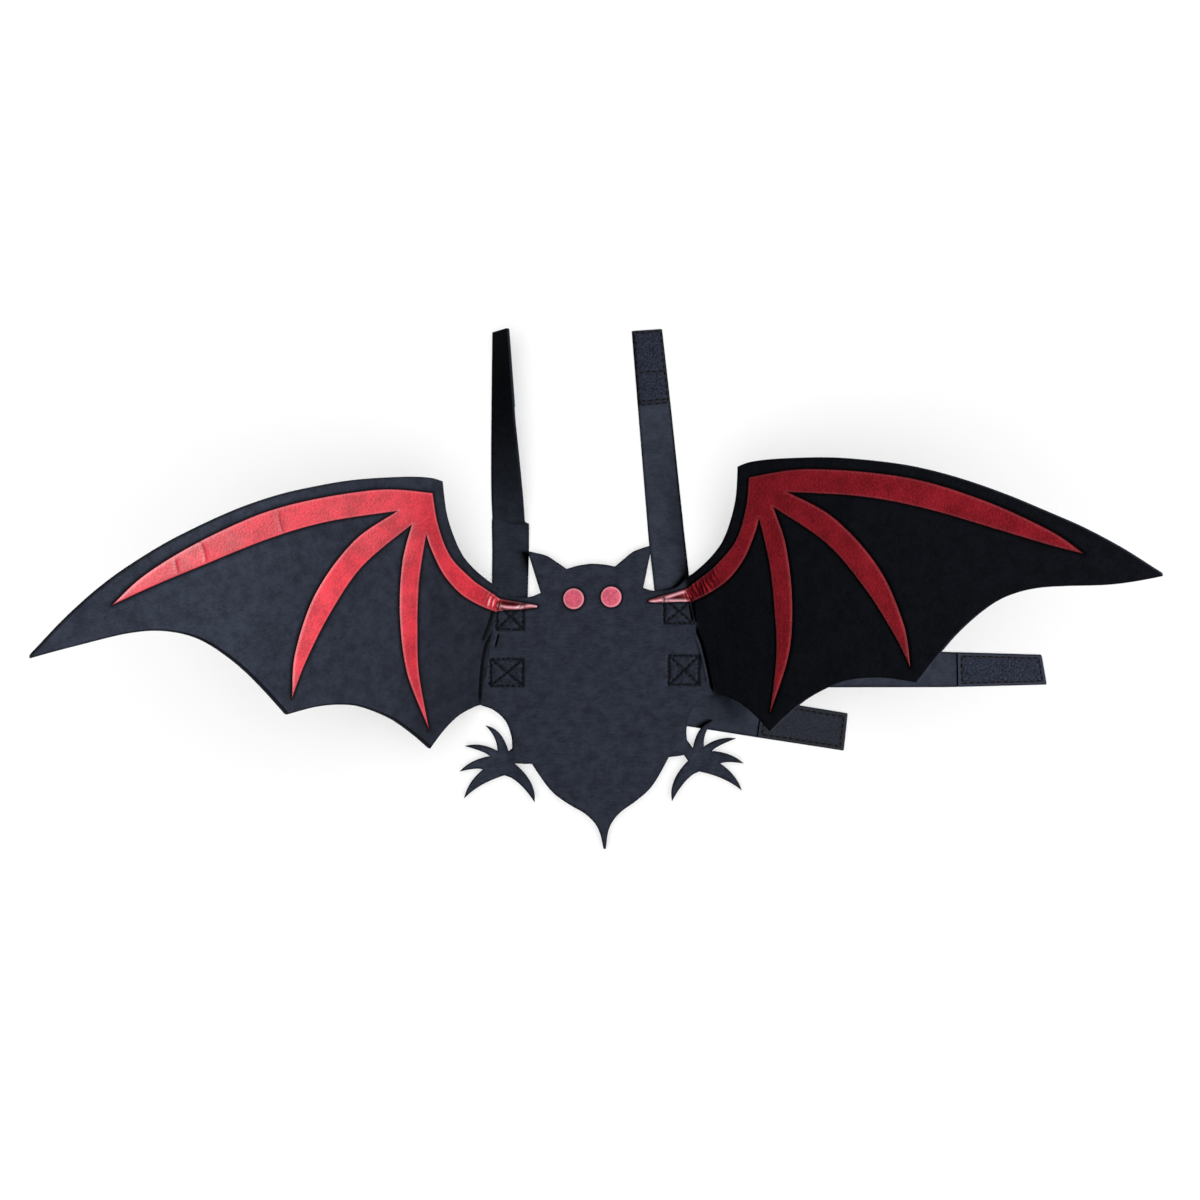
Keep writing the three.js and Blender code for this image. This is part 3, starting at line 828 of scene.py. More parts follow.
def plan_loop(node, height, step):
    """A CAD sheet's outline as a loop on the felt's middle, which it lies above by a height."""
    edge = cut_edge(node)
    base = edge[:, :2].copy()
    for _ in range(SETTLE_ROUNDS):
        _, normal = middle_of_sheet(base)
        base = edge[:, :2] - height * normal[:, :2]
    return counter_clockwise(smooth_loop(base, step))


@functools.cache
def film_loops():
    """Outlines of the film on the felt's plan, by node."""
    return {node: plan_loop(node, FILM_MIDDLE, FILM_STEP) for node in FILMS}


@functools.cache
def film_edge_tree():
    """Close points along the film's outlines, ready for finding the nearest."""
    close = []
    for loop in film_loops().values():
        after = np.roll(loop, -1, axis=0)
        close.extend(loop + (after - loop) * share for share in (0.0, 0.25, 0.5, 0.75))
    return tree_of(np.vstack(close))


def film_edge_distance(points):
    """Distance from plan points to the nearest edge of the film."""
    return nearest(film_edge_tree(), points)


def on_film(points):
    """Whether plan points lie under the film."""
    return np.any([inside(loop, points) for loop in film_loops().values()], axis=0)


# Meshes


def new_piece(name, places, faces, material):
    """A piece of the harness from places in pattern millimetres."""
    mesh = bpy.data.meshes.new(name)
    places = (np.asarray(places) + ORIGIN) * MM
    mesh.from_pydata(places.tolist(), [], [list(map(int, face)) for face in faces])
    mesh.validate()
    mesh.materials.append(material)
    mesh.shade_smooth()
    piece = bpy.data.objects.new(name, mesh)
    bpy.data.collections[PIECES].objects.link(piece)
    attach(piece, BODY)
    return piece


def add_values(piece, name, values):
    """Put a value at each of a piece's points, for its material to read."""
    made = piece.data.attributes.new(name, "FLOAT", "POINT")
    made.data.foreach_set("value", values.astype(np.float32))


def wall(first, second, count):
    """Faces between two rings of points, by the numbers of their first points."""
    after = [(i + 1) % count for i in range(count)]
    return [(first + i, second + i, second + j, first + j) for i, j in enumerate(after)]


def sheet_piece(name, loop, inner, edge_round, rows, upper, lower, placed, material):
    """A closed sheet: an upper and a lower face inside a loop, and a rounded edge of rows between them.

    Each row gives how much of the rounding it is set in by, and its height as a share from the lower face
    (0) to the upper face (1). placed turns plan points and heights into places. Also gives the plan points
    of the upper face, of the lower face and of each row of the edge."""
    into = inward(loop)
    round_by = np.minimum(edge_round, MOST_ROUNDING * width_inside(loop, into))[:, None]
    ring = loop + into * round_by
    flat, faces = triangulated(ring, inner)
    count, around = len(flat), len(loop)
    plan = [flat, flat]
    places = [placed(flat, upper(flat)), placed(flat, lower(flat))]
    top, bottom = upper(ring), lower(ring)
    for set_in, share in rows:
        points = loop + into * round_by * set_in
        plan.append(points)
        places.append(placed(points, bottom + (top - bottom) * share))
    all_faces = [*faces.tolist(), *(faces[:, ::-1] + count).tolist()]
    starts = [0, *(2 * count + around * k for k in range(len(rows))), count]
    for a, b in zip(starts, starts[1:]):
        all_faces += wall(a, b, around)
    return new_piece(name, np.vstack(places), all_faces, material), plan


class Threads:
    """Collects closed tubes of thread into one mesh."""

    def __init__(self, sides):
        self.sides = sides
        self.places = []
        self.faces = []

    def add(self, line, radii):
        """A tube along a line of places, with a radius at each, closed at both ends."""
        line = np.asarray(line, float)
        ahead = unit(np.gradient(line, axis=0))
        upright = abs(ahead[:, 2]).mean() >= UPRIGHT
        helper = np.array([1.0, 0.0, 0.0]) if upright else np.array([0.0, 0.0, 1.0])
        across = unit(np.cross(ahead, helper))
        up = np.cross(across, ahead)
        turn = (2 * math.pi * np.arange(self.sides) / self.sides)[None, :, None]
        start = sum(map(len, self.places))
        spokes = np.cos(turn) * across[:, None] + np.sin(turn) * up[:, None]
        rings = line[:, None] + radii[:, None, None] * spokes
        self.places.append(rings.reshape(-1, 3))
        starts = [start + k * self.sides for k in range(len(line))]
        for a, b in zip(starts, starts[1:]):
            self.faces += wall(a, b, self.sides)
        self.faces.append([starts[0] + i for i in range(self.sides)])
        self.faces.append([starts[-1] + i for i in reversed(range(self.sides))])

    def piece(self, name, material, slot=None):
        """The collected threads as one piece."""
        return new_piece(name, np.vstack(self.places), self.faces, material)


def sew(threads, line, placed, pitch, thick, draw, uneven):
    """Stitches along a line, a little uneven: each rises out of the cloth and goes back in."""
    along = travelled(line)
    count = max(1, int(round(along[-1] / pitch)))
    share = np.linspace(*STITCH_SHOWS, STITCH_STEPS)
    arch = np.sin(math.pi * np.linspace(0, 1, STITCH_STEPS))
    radii = thick / 2 * (STITCH["thin"] + (1 - STITCH["thin"]) * arch ** STITCH["full"])
    for k in range(count):
        flat = found_at((k + share) * along[-1] / count, along, line)
        askew = draw.normal(0, uneven)
        ahead = flat[-1] - flat[0]
        aside = np.array([-ahead[1], ahead[0]]) / max(np.linalg.norm(ahead), TINY)
        shift = draw.normal(0, STITCH["shift"] + uneven / 3, (1, 2))
        flat = flat + shift + np.outer((share - 0.5) * askew * 2, aside)
        lift = STITCH["rise"] * arch ** STITCH["steep"] - STITCH["sunk"] + draw.normal(0, STITCH["uneven"])
        threads.add(placed(flat, lift), radii)


# Materials


def tinted(colour, by):
    """A colour made lighter or darker."""
    return tuple(min(1.0, channel * by) for channel in colour)


class Finish:
    """A material in the making: a plain shader, and nodes that read places on the object."""

    def __init__(self, name):
        self.material = bpy.data.materials.new(name)
        self.material.use_nodes = True
        self.tree = self.material.node_tree
        self.shader = self.tree.nodes["Principled BSDF"]
        self.place = self.node("TexCoord").outputs["Object"]

    def node(self, kind):
        """A new node."""
        return self.tree.nodes.new("ShaderNode" + kind)

    def link(self, source, target):
        """A link from one socket to another."""
        self.tree.links.new(source, target)

    def texture(self, kind, output="Fac", place=None, **values):
        """A texture that reads places on the object, with values set on its sockets."""
        made = self.node("Tex" + kind)
        self.link(place or self.place, made.inputs["Vector"])
        for name, value in values.items():
            made.inputs[name.title()].default_value = value
        return made.outputs[output]

    def fibres(self, turn_deg, fine):
        """Short pressed fibres that mostly lie in one direction."""
        mapping = self.node("Mapping")
        mapping.inputs["Rotation"].default_value = (0, 0, math.radians(turn_deg))
        mapping.inputs["Scale"].default_value = FIBRE_SCALE
        self.link(self.place, mapping.inputs["Vector"])
        return self.texture("Noise", place=mapping.outputs[0], scale=fine, detail=4, distortion=1.2)

    def arithmetic(self, operation, first, second):
        """A sum or product of two values. The second may be a plain number."""
        made = self.node("Math")
        made.operation = operation
        self.link(first, made.inputs[0])
        if isinstance(second, float):
            made.inputs[1].default_value = second
        else:
            self.link(second, made.inputs[1])
        return made.outputs[0]

    def blend(self, first, second, share):
        """Two values added: a share of the first, and the rest of the second."""
        first = self.arithmetic("MULTIPLY", first, share)
        second = self.arithmetic("MULTIPLY", second, 1 - share)
        return self.arithmetic("ADD", first, second)

    def ramp(self, factor, stops):
        """A colour ramp with stops of place and colour."""
        made = self.node("ValToRGB")
        for element, (place, colour) in zip(made.color_ramp.elements, (stops[0], stops[-1])):
            element.position = place
            element.color = (*colour, 1)
        for place, colour in stops[1:-1]:
            made.color_ramp.elements.new(place).color = (*colour, 1)
        self.link(factor, made.inputs["Fac"])
        return made.outputs["Color"]

    def speckled(self, factor, colour, contrast, spread):
        """A colour made darker and lighter by a contrast, over a spread of the factor about its middle."""
        dark, light = tinted(colour, 1 - contrast), tinted(colour, 1 + contrast)
        return self.ramp(factor, [(0.5 - spread, dark), (0.5, colour), (0.5 + spread, light)])

    def point_value(self, name):
        """The value that the mesh holds at each point."""
        made = self.node("Attribute")
        made.attribute_name = name
        return made.outputs["Fac"]

    def toned(self, colour):
        """A colour scaled by the tone at each point of the mesh."""
        scaled = self.node("VectorMath")
        scaled.operation = "SCALE"
        self.link(colour, scaled.inputs[0])
        self.link(self.point_value(TONE), scaled.inputs["Scale"])
        return scaled.outputs[0]

    def base(self, colour):
        """Use a colour as the shader's base colour."""
        self.link(colour, self.shader.inputs["Base Color"])

    def bump(self, height, strength, distance):
        """Relief from a height."""
        made = self.node("Bump")
        made.inputs["Strength"].default_value = strength
        made.inputs["Distance"].default_value = distance
        self.link(height, made.inputs["Height"])
        self.link(made.outputs["Normal"], self.shader.inputs["Normal"])
        return made

    def set(self, values):
        """Set values that are the same all over the surface on the shader's own sockets."""
        for name, value in values.items():
            self.shader.inputs[name].default_value = value


def felt_material(name, colour, fine, contrast, by_point=True):
    """Pressed felt: matted fibres and soft blotches, toned by the mesh's own values if it has them."""
    felt = Finish(name)
    blotches = felt.texture("Noise", scale=170, detail=6, roughness=0.62)
    first, second = FIBRE_TURNS_DEG
    matted = felt.blend(felt.fibres(first, fine), felt.fibres(second, fine * FIBRE_FINER), 0.5)
    colour = felt.speckled(felt.blend(blotches, matted, 0.5), colour, contrast, spread=0.09)
    felt.base(felt.toned(colour) if by_point else colour)
    knots = felt.texture("Noise", scale=420, detail=3)
    felt.bump(felt.blend(matted, knots, 0.6), strength=0.4, distance=0.0009)
    felt.set({"Roughness": 0.95, "Specular IOR Level": 0.1})
    felt.set({"Sheen Weight": 0.01, "Sheen Roughness": 0.6, "Sheen Tint": (0.75, 0.82, 1.0, 1)})
    return felt.material


def film_material(name, colour, rough, shine):
    """Satin film on felt, with the felt's grain showing through it, and glossier where it is creased."""
    film = Finish(name)
    grain = film.texture("Noise", scale=900, detail=4, roughness=0.6)
    clouds = film.texture("Noise", scale=110, detail=4)
    colour = film.speckled(film.blend(grain, clouds, 0.5), colour, contrast=0.23, spread=0.08)
    # The pale colour mixed in at the mesh's points is a painted highlight
    paler = film.node("MixRGB")
    film.link(film.point_value(PAINTED_HIGHLIGHT), paler.inputs["Fac"])
    film.link(film.toned(colour), paler.inputs["Color1"])
    paler.inputs["Color2"].default_value = (*FILM_RIM["colour"], 1)
    film.base(paler.outputs["Color"])
    pits = film.texture("Voronoi", output="Distance", scale=1100)
    bump = film.bump(film.blend(grain, pits, 0.6), FLAT_BUMP, distance=0.0005)
    gloss = film.point_value(GLOSS)
    for flat, creased, socket in (
        (rough, CREASED_ROUGH, film.shader.inputs["Roughness"]),
        (FLAT_BUMP, CREASED_BUMP, bump.inputs["Strength"]),
    ):
        between = film.node("MapRange")
        between.inputs["To Min"].default_value = flat
        between.inputs["To Max"].default_value = creased
        film.link(gloss, between.inputs["Value"])
        film.link(between.outputs[0], socket)
    film.set({"Specular IOR Level": shine})
    return film.material


def thread_material(name, colour):
    """Twisted sewing thread."""
    thread = Finish(name)
    twist = thread.texture("Wave", scale=900, distortion=2.0, detail=2)
    thread.base(thread.ramp(twist, [(place, tinted(colour, by)) for place, by in TWIST]))
    thread.bump(twist, strength=0.5, distance=0.0002)
    thread.set({"Roughness": 0.8, "Specular IOR Level": 0.1})
    return thread.material


def tape_material(name, colour):
    """Close woven tape that carries the hooks or loops."""
    tape = Finish(name)
    warp = tape.texture("Wave", scale=420, distortion=1.0, detail=2)
    fuzz = tape.texture("Noise", scale=1300, detail=4)
    woven = tape.blend(warp, fuzz, 0.15)
    tape.base(tape.toned(tape.speckled(woven, colour, contrast=0.35, spread=0.2)))
    tape.bump(woven, strength=0.6, distance=0.0005)
    tape.set({"Roughness": 0.9})
    return tape.material


def floor_material(name, colour):
    """Plain pale paper."""
    paper = Finish(name)
    soft = paper.texture("Noise", scale=6, detail=3)
    paper.base(paper.speckled(soft, colour, contrast=0.01, spread=0.2))
    paper.set({"Roughness": 0.9})
    return paper.material


# Stage


def add_light(name, kind, power, lit, shaded_by=None, **settings):
    """A light that lights one collection, shaded by everything or by one collection."""
    light = bpy.data.lights.new(name, kind)
    light.energy = power
    for setting, value in settings.items():
        setattr(light, setting, value)
    made = bpy.data.objects.new(name, light)
    made.light_linking.receiver_collection = lit
    if shaded_by is not None:
        made.light_linking.blocker_collection = shaded_by
    bpy.context.scene.collection.objects.link(made)
    return made


def studio_world():
    """A weak even fill, and a pale backdrop that only the camera sees."""
    world = bpy.data.worlds.new("studio")
    world.use_nodes = True
    tree = world.node_tree
    fill = tree.nodes["Background"]
    backdrop = tree.nodes.new("ShaderNodeBackground")
    for background, colour, strength in ((fill, FILL_COLOUR, FILL), (backdrop, BACKDROP_COLOUR, BACKDROP)):
        background.inputs["Color"].default_value = colour
        background.inputs["Strength"].default_value = strength
    seen = tree.nodes.new("ShaderNodeLightPath").outputs["Is Camera Ray"]
    either = tree.nodes.new("ShaderNodeMixShader")
    for socket, source in enumerate((seen, fill.outputs[0], backdrop.outputs[0])):
        tree.links.new(source, either.inputs[socket])
    tree.links.new(either.outputs[0], tree.nodes["World Output"].inputs["Surface"])
    return world


class HARNESS_OT_stage(bpy.types.Operator):
    """Make the floor, the lights and the camera"""

    bl_idname = "harness.stage"
    bl_label = "Stage"

    def execute(self, context):
        scene = context.scene
        mesh = bpy.data.meshes.new("floor")
        signs = ((-1, -1), (1, -1), (1, 1), (-1, 1))
        mesh.from_pydata([(x * PAPER_HALF, y * PAPER_HALF, PAPER_Z) for x, y in signs], [], [(0, 1, 2, 3)])
        floor = bpy.data.objects.new("floor", mesh)
        floor.data.materials.append(floor_material("pale_floor", scene.harness_colours.floor))
        floor.visible_diffuse = False

        made = {name: bpy.data.collections.new(name) for name in (PIECES, GROUND, RAISED)}
        for name in (PIECES, GROUND):
            scene.collection.children.link(made[name])
        made[GROUND].objects.link(floor)

        towards = Vector(WINDOW_TOWARDS).normalized()
        window = add_light(
            "window", "AREA", WINDOW_POWER, made[PIECES],
            shape="RECTANGLE", size=WINDOW_SIZE, size_y=WINDOW_SIZE,
        )
        window.location = towards * WINDOW_AWAY
        window.rotation_mode = "QUATERNION"
        window.rotation_quaternion = (-towards).to_track_quat("-Z", "Y")
        for name, power in OVERHEAD_POWER.items():
            shaded_by = made[OVERHEAD_SHADED_BY[name]]
            overhead = add_light(name, "SUN", power, made[GROUND], shaded_by, angle=OVERHEAD_SOFT)
            overhead.location = (0, 0, 1)
        bounce = add_light(
            "bounce", "AREA", BOUNCE_POWER, made[RAISED], made[PIECES], shape="SQUARE", size=BOUNCE_SIZE
        )
        bounce.location = (0, 0, BOUNCE_Z)
        bounce.rotation_euler = (math.pi, 0, 0)
        bounce.visible_camera = False
        scene.world = studio_world()
        scene.view_settings.view_transform = "Standard"

        lens = bpy.data.cameras.new("camera")
        lens.lens = CAMERA_LENS
        lens.sensor_width = CAMERA_SENSOR
        camera = bpy.data.objects.new("camera", lens)
        camera.location = CAMERA_PLACE
        camera.rotation_euler = (0, 0, VIEW_TURN)
        scene.collection.objects.link(camera)
        scene.camera = camera
        return {"FINISHED"}


# Felt


def fine_places(loop):
    """Plan points for the felt: close together near the grooves, sewn boxes and the film's edges."""
    coarse = grid_points(loop.min(axis=0), loop.max(axis=0), FELT_STEP)
    near = []
    for groove in GROOVES:
        through = np.array(groove["through"])
        beside = FINE_BESIDE["groove_box"]
        box = grid_points(through.min(axis=0) - beside, through.max(axis=0) + beside, FINE_STEP)
        near.append(box[distance_to(through, box)[0] < FINE_BESIDE["grooves"]])
    for box in SEWN_BOXES:
        half = np.array([box["width"], box["height"]]) / 2 + FINE_BESIDE["boxes"]
        centre = np.array([box["x"], box["y"]])
        near.append(grid_points(centre - half, centre + half, FINE_STEP))
    for outline in film_loops().values():
        near.extend(outline + inward(outline) * aside for aside in FILM_RINGS)
    shaded = loop[:, 0] < SHADED_EDGE["beyond_x"]
    near.extend((loop + inward(loop) * SHADED_EDGE[aside])[shaded] for aside in ("wide", "ends"))
    near = np.unique(np.round(np.vstack(near) / FELT_GAPS["snap"]) * FELT_GAPS["snap"], axis=0)
    cells = {}
    for point in near:
        cell = tuple(np.floor(point / (FELT_GAPS["fine"] * FINE_STEP)).astype(int))
        cells.setdefault(cell, point)
    near = np.array(list(cells.values()))
    points = np.vstack([near, far_from(coarse, near, FELT_GAPS["coarse"] * FELT_STEP)])
    points = points[inside(loop, points)]
    return far_from(points, loop, FELT_GAPS["outline"])


def wing_tone(flat):
    """Tone of the felt: painted shade near the wings' roots and on the right wing, painted light at the left
    wing's tip and on the left foot, even on the body but for the nap's random drift.
    """
    tone = np.ones(len(flat))
    for name, wing in WINGS.items():
        reach, along = crease_place(wing, flat)
        at, shade = zip(*WING_PAINTED_SHADING[name])
        tone = np.where(beyond_fold(reach, along) & (reach > at[0]), np.interp(reach, at, shade), tone)
    left_foot = np.where(flat[:, 0] < -FOOT_X, droop(flat) / FOOT_DROOP, 0)
    return tone * (1 + NAP_DRIFT * lumps("nap", flat)) * (1 + LEFT_FOOT_PAINTED_LIGHT * left_foot)


def line_tone(flat):
    """Tone of the felt's upper face: painted shade in grooves, at sewn lines, in flecks inside the sewn boxes
    and along the film's edges.
    """
    edge = bell(film_edge_distance(flat), FILM_EDGE["dark_wide"])
    lines = (1 - FILM_EDGE["dark"] * edge) * (1 - SEWN_PAINTED_SHADE * sewn_share(flat))
    flecks = BOX_PAINTED_SHADE_FLECKS["level"] + BOX_PAINTED_SHADE_FLECKS["uneven"] * lumps("flecks", flat)
    lines = lines * (1 - in_box(flat) * np.clip(flecks, 0, BOX_PAINTED_SHADE_FLECKS["most"]))
    depth = groove_depth(flat, GROOVE_SHADE["wider"])
    return lines * (1 - GROOVE_SHADE["dark"] * rising(depth, GROOVE_SHADE["full_at"]))


def edge_tone(loop, flat):
    """Tone of the left wing's upper face: dark along its outline where that turns away from the window."""
    turned = np.clip(-inward(loop) @ np.array(SHADED_EDGE["faces"]), 0, 1) ** 2
    on_left = flat[:, 0] < SHADED_EDGE["beyond_x"]
    away, along = distance_to(loop, flat[on_left], closed=True)
    place = travelled(np.vstack([loop, loop[:1]]))
    facing = np.interp(along, place / place[-1], np.append(turned, turned[0]))
    near = rising(SHADED_EDGE["ends"] - away, SHADED_EDGE["ends"] - SHADED_EDGE["wide"])
    tone = np.ones(len(flat))
    tone[on_left] = 1 - SHADED_EDGE["dark"] * facing * near
    return tone


class HARNESS_OT_felt(bpy.types.Operator):
    """Make the felt bat with its folded wings"""

    bl_idname = "harness.felt"
    bl_label = "Felt"

    def execute(self, context):
        sizes, colours = context.scene.harness_sizes, context.scene.harness_colours
        half = in_mm(sizes.felt_thickness) / 2
        loop = plan_loop("felt_bat", 0, EDGE_STEP)
        piece, plan = sheet_piece(
            "felt_bat_sheet", loop, fine_places(loop), in_mm(sizes.edge_rounding), FELT_RIM,
            lambda points: half - pressed(points) - edge_dip(points),
            lambda points: np.full(len(points), -half),
            lambda points, height: on_felt(points, height, in_mm(sizes.wing_waves)),
            felt_material("black_felt", colours.felt, fine=1100, contrast=0.3),
        )
        # Painted shade and light of the wings and the left foot, with the nap's random drift
        painted_shade_and_nap = wing_tone(plan[0])
        upper = painted_shade_and_nap * line_tone(plan[0])
        # Painted shade along the upper face's outline and on the cut edges
        upper[:len(loop)] *= OUTLINE_PAINTED_SHADE
        upper *= edge_tone(loop, plan[0])
        edges = [np.full(len(points), CUT_EDGE_PAINTED_SHADE) for points in plan[2:]]
        add_values(piece, TONE, np.concatenate([upper, painted_shade_and_nap, *edges]))
        bpy.data.collections[RAISED].objects.link(piece)
        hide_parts("felt_bat")
        return {"FINISHED"}


# Film


def crease_share(points):
    """How near points are to the film's own creases."""
    return line_share([smooth_line(line, LINE_STEP) for line in FILM_CREASES], FILM_CREASE["wide"], points)


def streak_share(points):
    """How near points are to the streaks on the film's inner ends."""
    return line_share([smooth_line(line, LINE_STEP) for line in FILM_STREAKS], FILM_STREAK["wide"], points)


def ripples(points):
    """Uneven ripples and streaks of the film on the arm: their height, about 1, and where the ripples are."""
    made, zones = np.zeros(len(points)), np.zeros(len(points))
    wander = RIPPLE["wander"] * lumps("ripple drift", points)
    swell = RIPPLE["level"] + RIPPLE["uneven"] * lumps("ripple swell", points)
    swell = np.clip(swell, RIPPLE["least"], RIPPLE["most"])
    for wing in WINGS.values():
        reach, along = crease_place(wing, points)
        for pitch, tall, starts, ends in ((*FOLD_RIPPLES, wing["rippled_to"]), INNER_RIPPLES):
            wave = 0.5 + 0.5 * np.cos(2 * math.pi * (reach + RIPPLE["slant"] * along) / pitch + wander)
            zone = rising(reach - starts, RIPPLE_SOFT) * rising(ends - reach, RIPPLE_SOFT)
            zone = zone * (along > RIPPLE_ABOVE)
            made += tall * wave ** RIPPLE["sharp"] * zone * swell
            zones = np.maximum(zones, zone)
    return made + FILM_STREAK["tall"] * streak_share(points), zones


def film_tone(flat):
    """Tone of the film: painted shade at its edge, between its ripples, in its creases, beside the streaks on
    its inner ends and near the left wing's fold.
    """
    height, zone = ripples(flat)
    edge = FILM_DARK["edge"] * bell(film_edge_distance(flat), FILM_DARK["edge_wide"])
    valleys = FILM_DARK["valleys"] * zone * (1 - np.clip(height * FILM_DARK["valley_full"], 0, 1))
    aside = np.abs(flat[:, 0])
    first, last = FILM_STREAK["within"]
    inner_end = rising(last - aside, FILM_STREAK["soft"]) * (aside > first)
    tone = (1 - edge) * (1 - valleys) * (1 - FILM_DARK["creases"] * crease_share(flat))
    tone *= 1 - FILM_STREAK["dark"] * inner_end * (1 - streak_share(flat))
    tone *= 1 - FILM_DARK["sewn"] * sewn_share(flat)
    reach, along = crease_place(WINGS["left"], flat)
    at, shade = zip(*FILM_PAINTED_SHADE)
    soft = FINGERS_PALER["soft"]
    fingers = rising(FINGERS_PALER["below"] - along, soft) * rising(reach - FINGERS_PALER["beyond"], soft)
    return tone * np.interp(reach, at, shade) * (1 + FINGERS_PALER["by"] * fingers)


def film_painted_highlight(flat, rim):
    """Share of the pale colour of painted highlights at each point: a little just inside the film's edge,
    most on the streaks.
    """
    inside_edge = bell(film_edge_distance(flat) - FILM_RIM["at"], FILM_RIM["wide"])
    return np.maximum(rim * inside_edge, FILM_STREAK["pale"] * streak_share(flat))


def film_gloss(flat):
    """Where the film is smooth: at its ripples, and on the left wing's arm and lower fingers."""
    _, zones = ripples(flat)
    reach, along = crease_place(WINGS["left"], flat)
    arm = rising(ARM_GLOSS["to"] - reach, ARM_GLOSS["soft"]) * (reach > ARM_GLOSS["from"])
    fingers = rising(FINGER_GLOSS["below"] - along, FINGER_GLOSS["soft"]) * (reach > 0)
    on_left = np.maximum(ARM_GLOSS["share"] * arm, FINGER_GLOSS["share"] * fingers)
    return np.maximum(zones, on_left)


def film_places(loop):
    """Plan points for a piece of film: close together at ripples and creases, and in rings at its edge."""
    low, high = loop.min(axis=0), loop.max(axis=0)
    coarse = grid_points(low, high, FILM_GRID["coarse"])
    fine = grid_points(low, high, FILM_GRID["fine"])
    rippled = crease_share(fine) > FILM_FINE_SHARE
    first, last = FILM_FINE_REACH
    for wing in WINGS.values():
        reach, along = crease_place(wing, fine)
        rippled |= (reach > first) & (reach < last) & (along > RIPPLE_ABOVE)
    fine = fine[rippled]
    if len(fine):
        coarse = far_from(coarse, fine, FILM_GRID["between"])
    points = np.vstack([fine, coarse])
    points = far_from(points[inside(loop, points)], loop, FILM_GRID["from_edge"])
    for inset in FILM_INSETS:
        ring = loop + inward(loop) * inset
        ring = ring[inside(loop, ring)]
        points = np.vstack([points, far_from(ring, loop, INSET_GAP * inset)])
    return points


def film_dip(points):
    """How far the film follows the felt's pressed lines down, less what its own creases rise."""
    dip = FILM_FOLLOWS["pressed"] * pressed(points) + FILM_FOLLOWS["edges"] * edge_dip(points)
    return dip - FILM_CREASE["deep"] * crease_share(points)


class HARNESS_OT_film(bpy.types.Operator):
    """Make the red film of the wing bones and the eyes"""

    bl_idname = "harness.film"
    bl_label = "Film"

    def execute(self, context):
        sizes, colours = context.scene.harness_sizes, context.scene.harness_colours
        low = in_mm(sizes.felt_thickness) / 2 + FILM_CLEAR
        high = low + in_mm(sizes.film_thickness)
        wrinkle = in_mm(sizes.film_wrinkles)
        under_wrinkle = FILM_FOLLOWS["ripples"] * wrinkle
        bones = film_material("red_film", colours.film, rough=0.42, shine=0.26)
        eyes = film_material("eye_film", colours.eyes, rough=0.6, shine=0.12)
        for node, loop in film_loops().items():
            is_eye = node.startswith("eye")
            piece, plan = sheet_piece(
                FILMS[node], loop, film_places(loop), FILM_ROUNDING, FILM_SIDE,
                lambda points: high + wrinkle * ripples(points)[0] - film_dip(points),
                lambda points: low + under_wrinkle * ripples(points)[0] - film_dip(points),
                lambda points, height: on_felt(points, height, in_mm(sizes.wing_waves)),
                eyes if is_eye else bones,
            )
            flat = np.vstack(plan)
            # The tone carries painted shade, the pale share painted highlights
            add_values(piece, TONE, film_tone(flat))
            add_values(piece, GLOSS, film_gloss(flat))
            add_values(piece, PAINTED_HIGHLIGHT, film_painted_highlight(flat, FILM_RIM["on_eyes" if is_eye else "on_bones"]))
            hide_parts(node)
        return {"FINISHED"}


# Straps


def stations(rows, step=1.0):
    """The rows of a strap with close steps between them. Its height is eased where it comes down."""
    rows = np.array(rows, float)
    made = [rows[0]]
    for a, b in zip(rows, rows[1:]):
        span = math.dist(a[:3], b[:3])
        count = max(1, math.ceil(max(span / step, abs(b[LEAN] - a[LEAN]))))
        for k in range(1, count + 1):
            share = np.full(len(a), k / count)
            if b[HEIGHT] < a[HEIGHT]:
                share[HEIGHT] = eased(k / count)
            made.append(a + (b - a) * share)
    return np.array(made)


def last_stretch(rows, length):
    """The stations within a length of the free end."""
    kept, left = [rows[-1]], length
    for a, b in zip(rows[-2::-1], rows[:0:-1]):
        span = math.dist(a[:3], b[:3])
        kept.insert(0, b + (a - b) * min(1.0, left / span))
        left -= span
        if left <= TINY:
            break
    return np.array(kept)


def strap_frames(rows):
    """Middles of a strap with the directions across it and out of its upper face, and its half widths."""
    middles = rows[:, :3]
    ahead = unit(np.gradient(middles, axis=0))
    turn = np.radians(rows[:, ACROSS])
    across = np.stack([np.cos(turn), np.sin(turn), np.zeros(len(rows))], axis=1)
    lean = -np.radians(rows[:, LEAN])[:, None]
    leaned = (
        across * np.cos(lean)
        + np.cross(ahead, across) * np.sin(lean)
        + ahead * (ahead * across).sum(axis=1, keepdims=True) * (1 - np.cos(lean))
    )
    return middles, leaned, unit(np.cross(ahead, leaned)), rows[:, WIDTH] / 2


def strip_ring(rounding, columns):
    """Points round a strip's section: part of its half width, how far set in, and share of its height."""
    inner = np.linspace(-1, 1, columns)[1:-1]
    out = [(set_in * rounding, share) for set_in, share in STRIP_CORNER]
    upper = [(-1, set_in, share) for set_in, share in out[::-1]]
    upper += [(side, rounding, 1.0) for side in inner]
    upper += [(1, set_in, share) for set_in, share in out]
    return upper + [(side, set_in, 1 - share) for side, set_in, share in upper[::-1]]


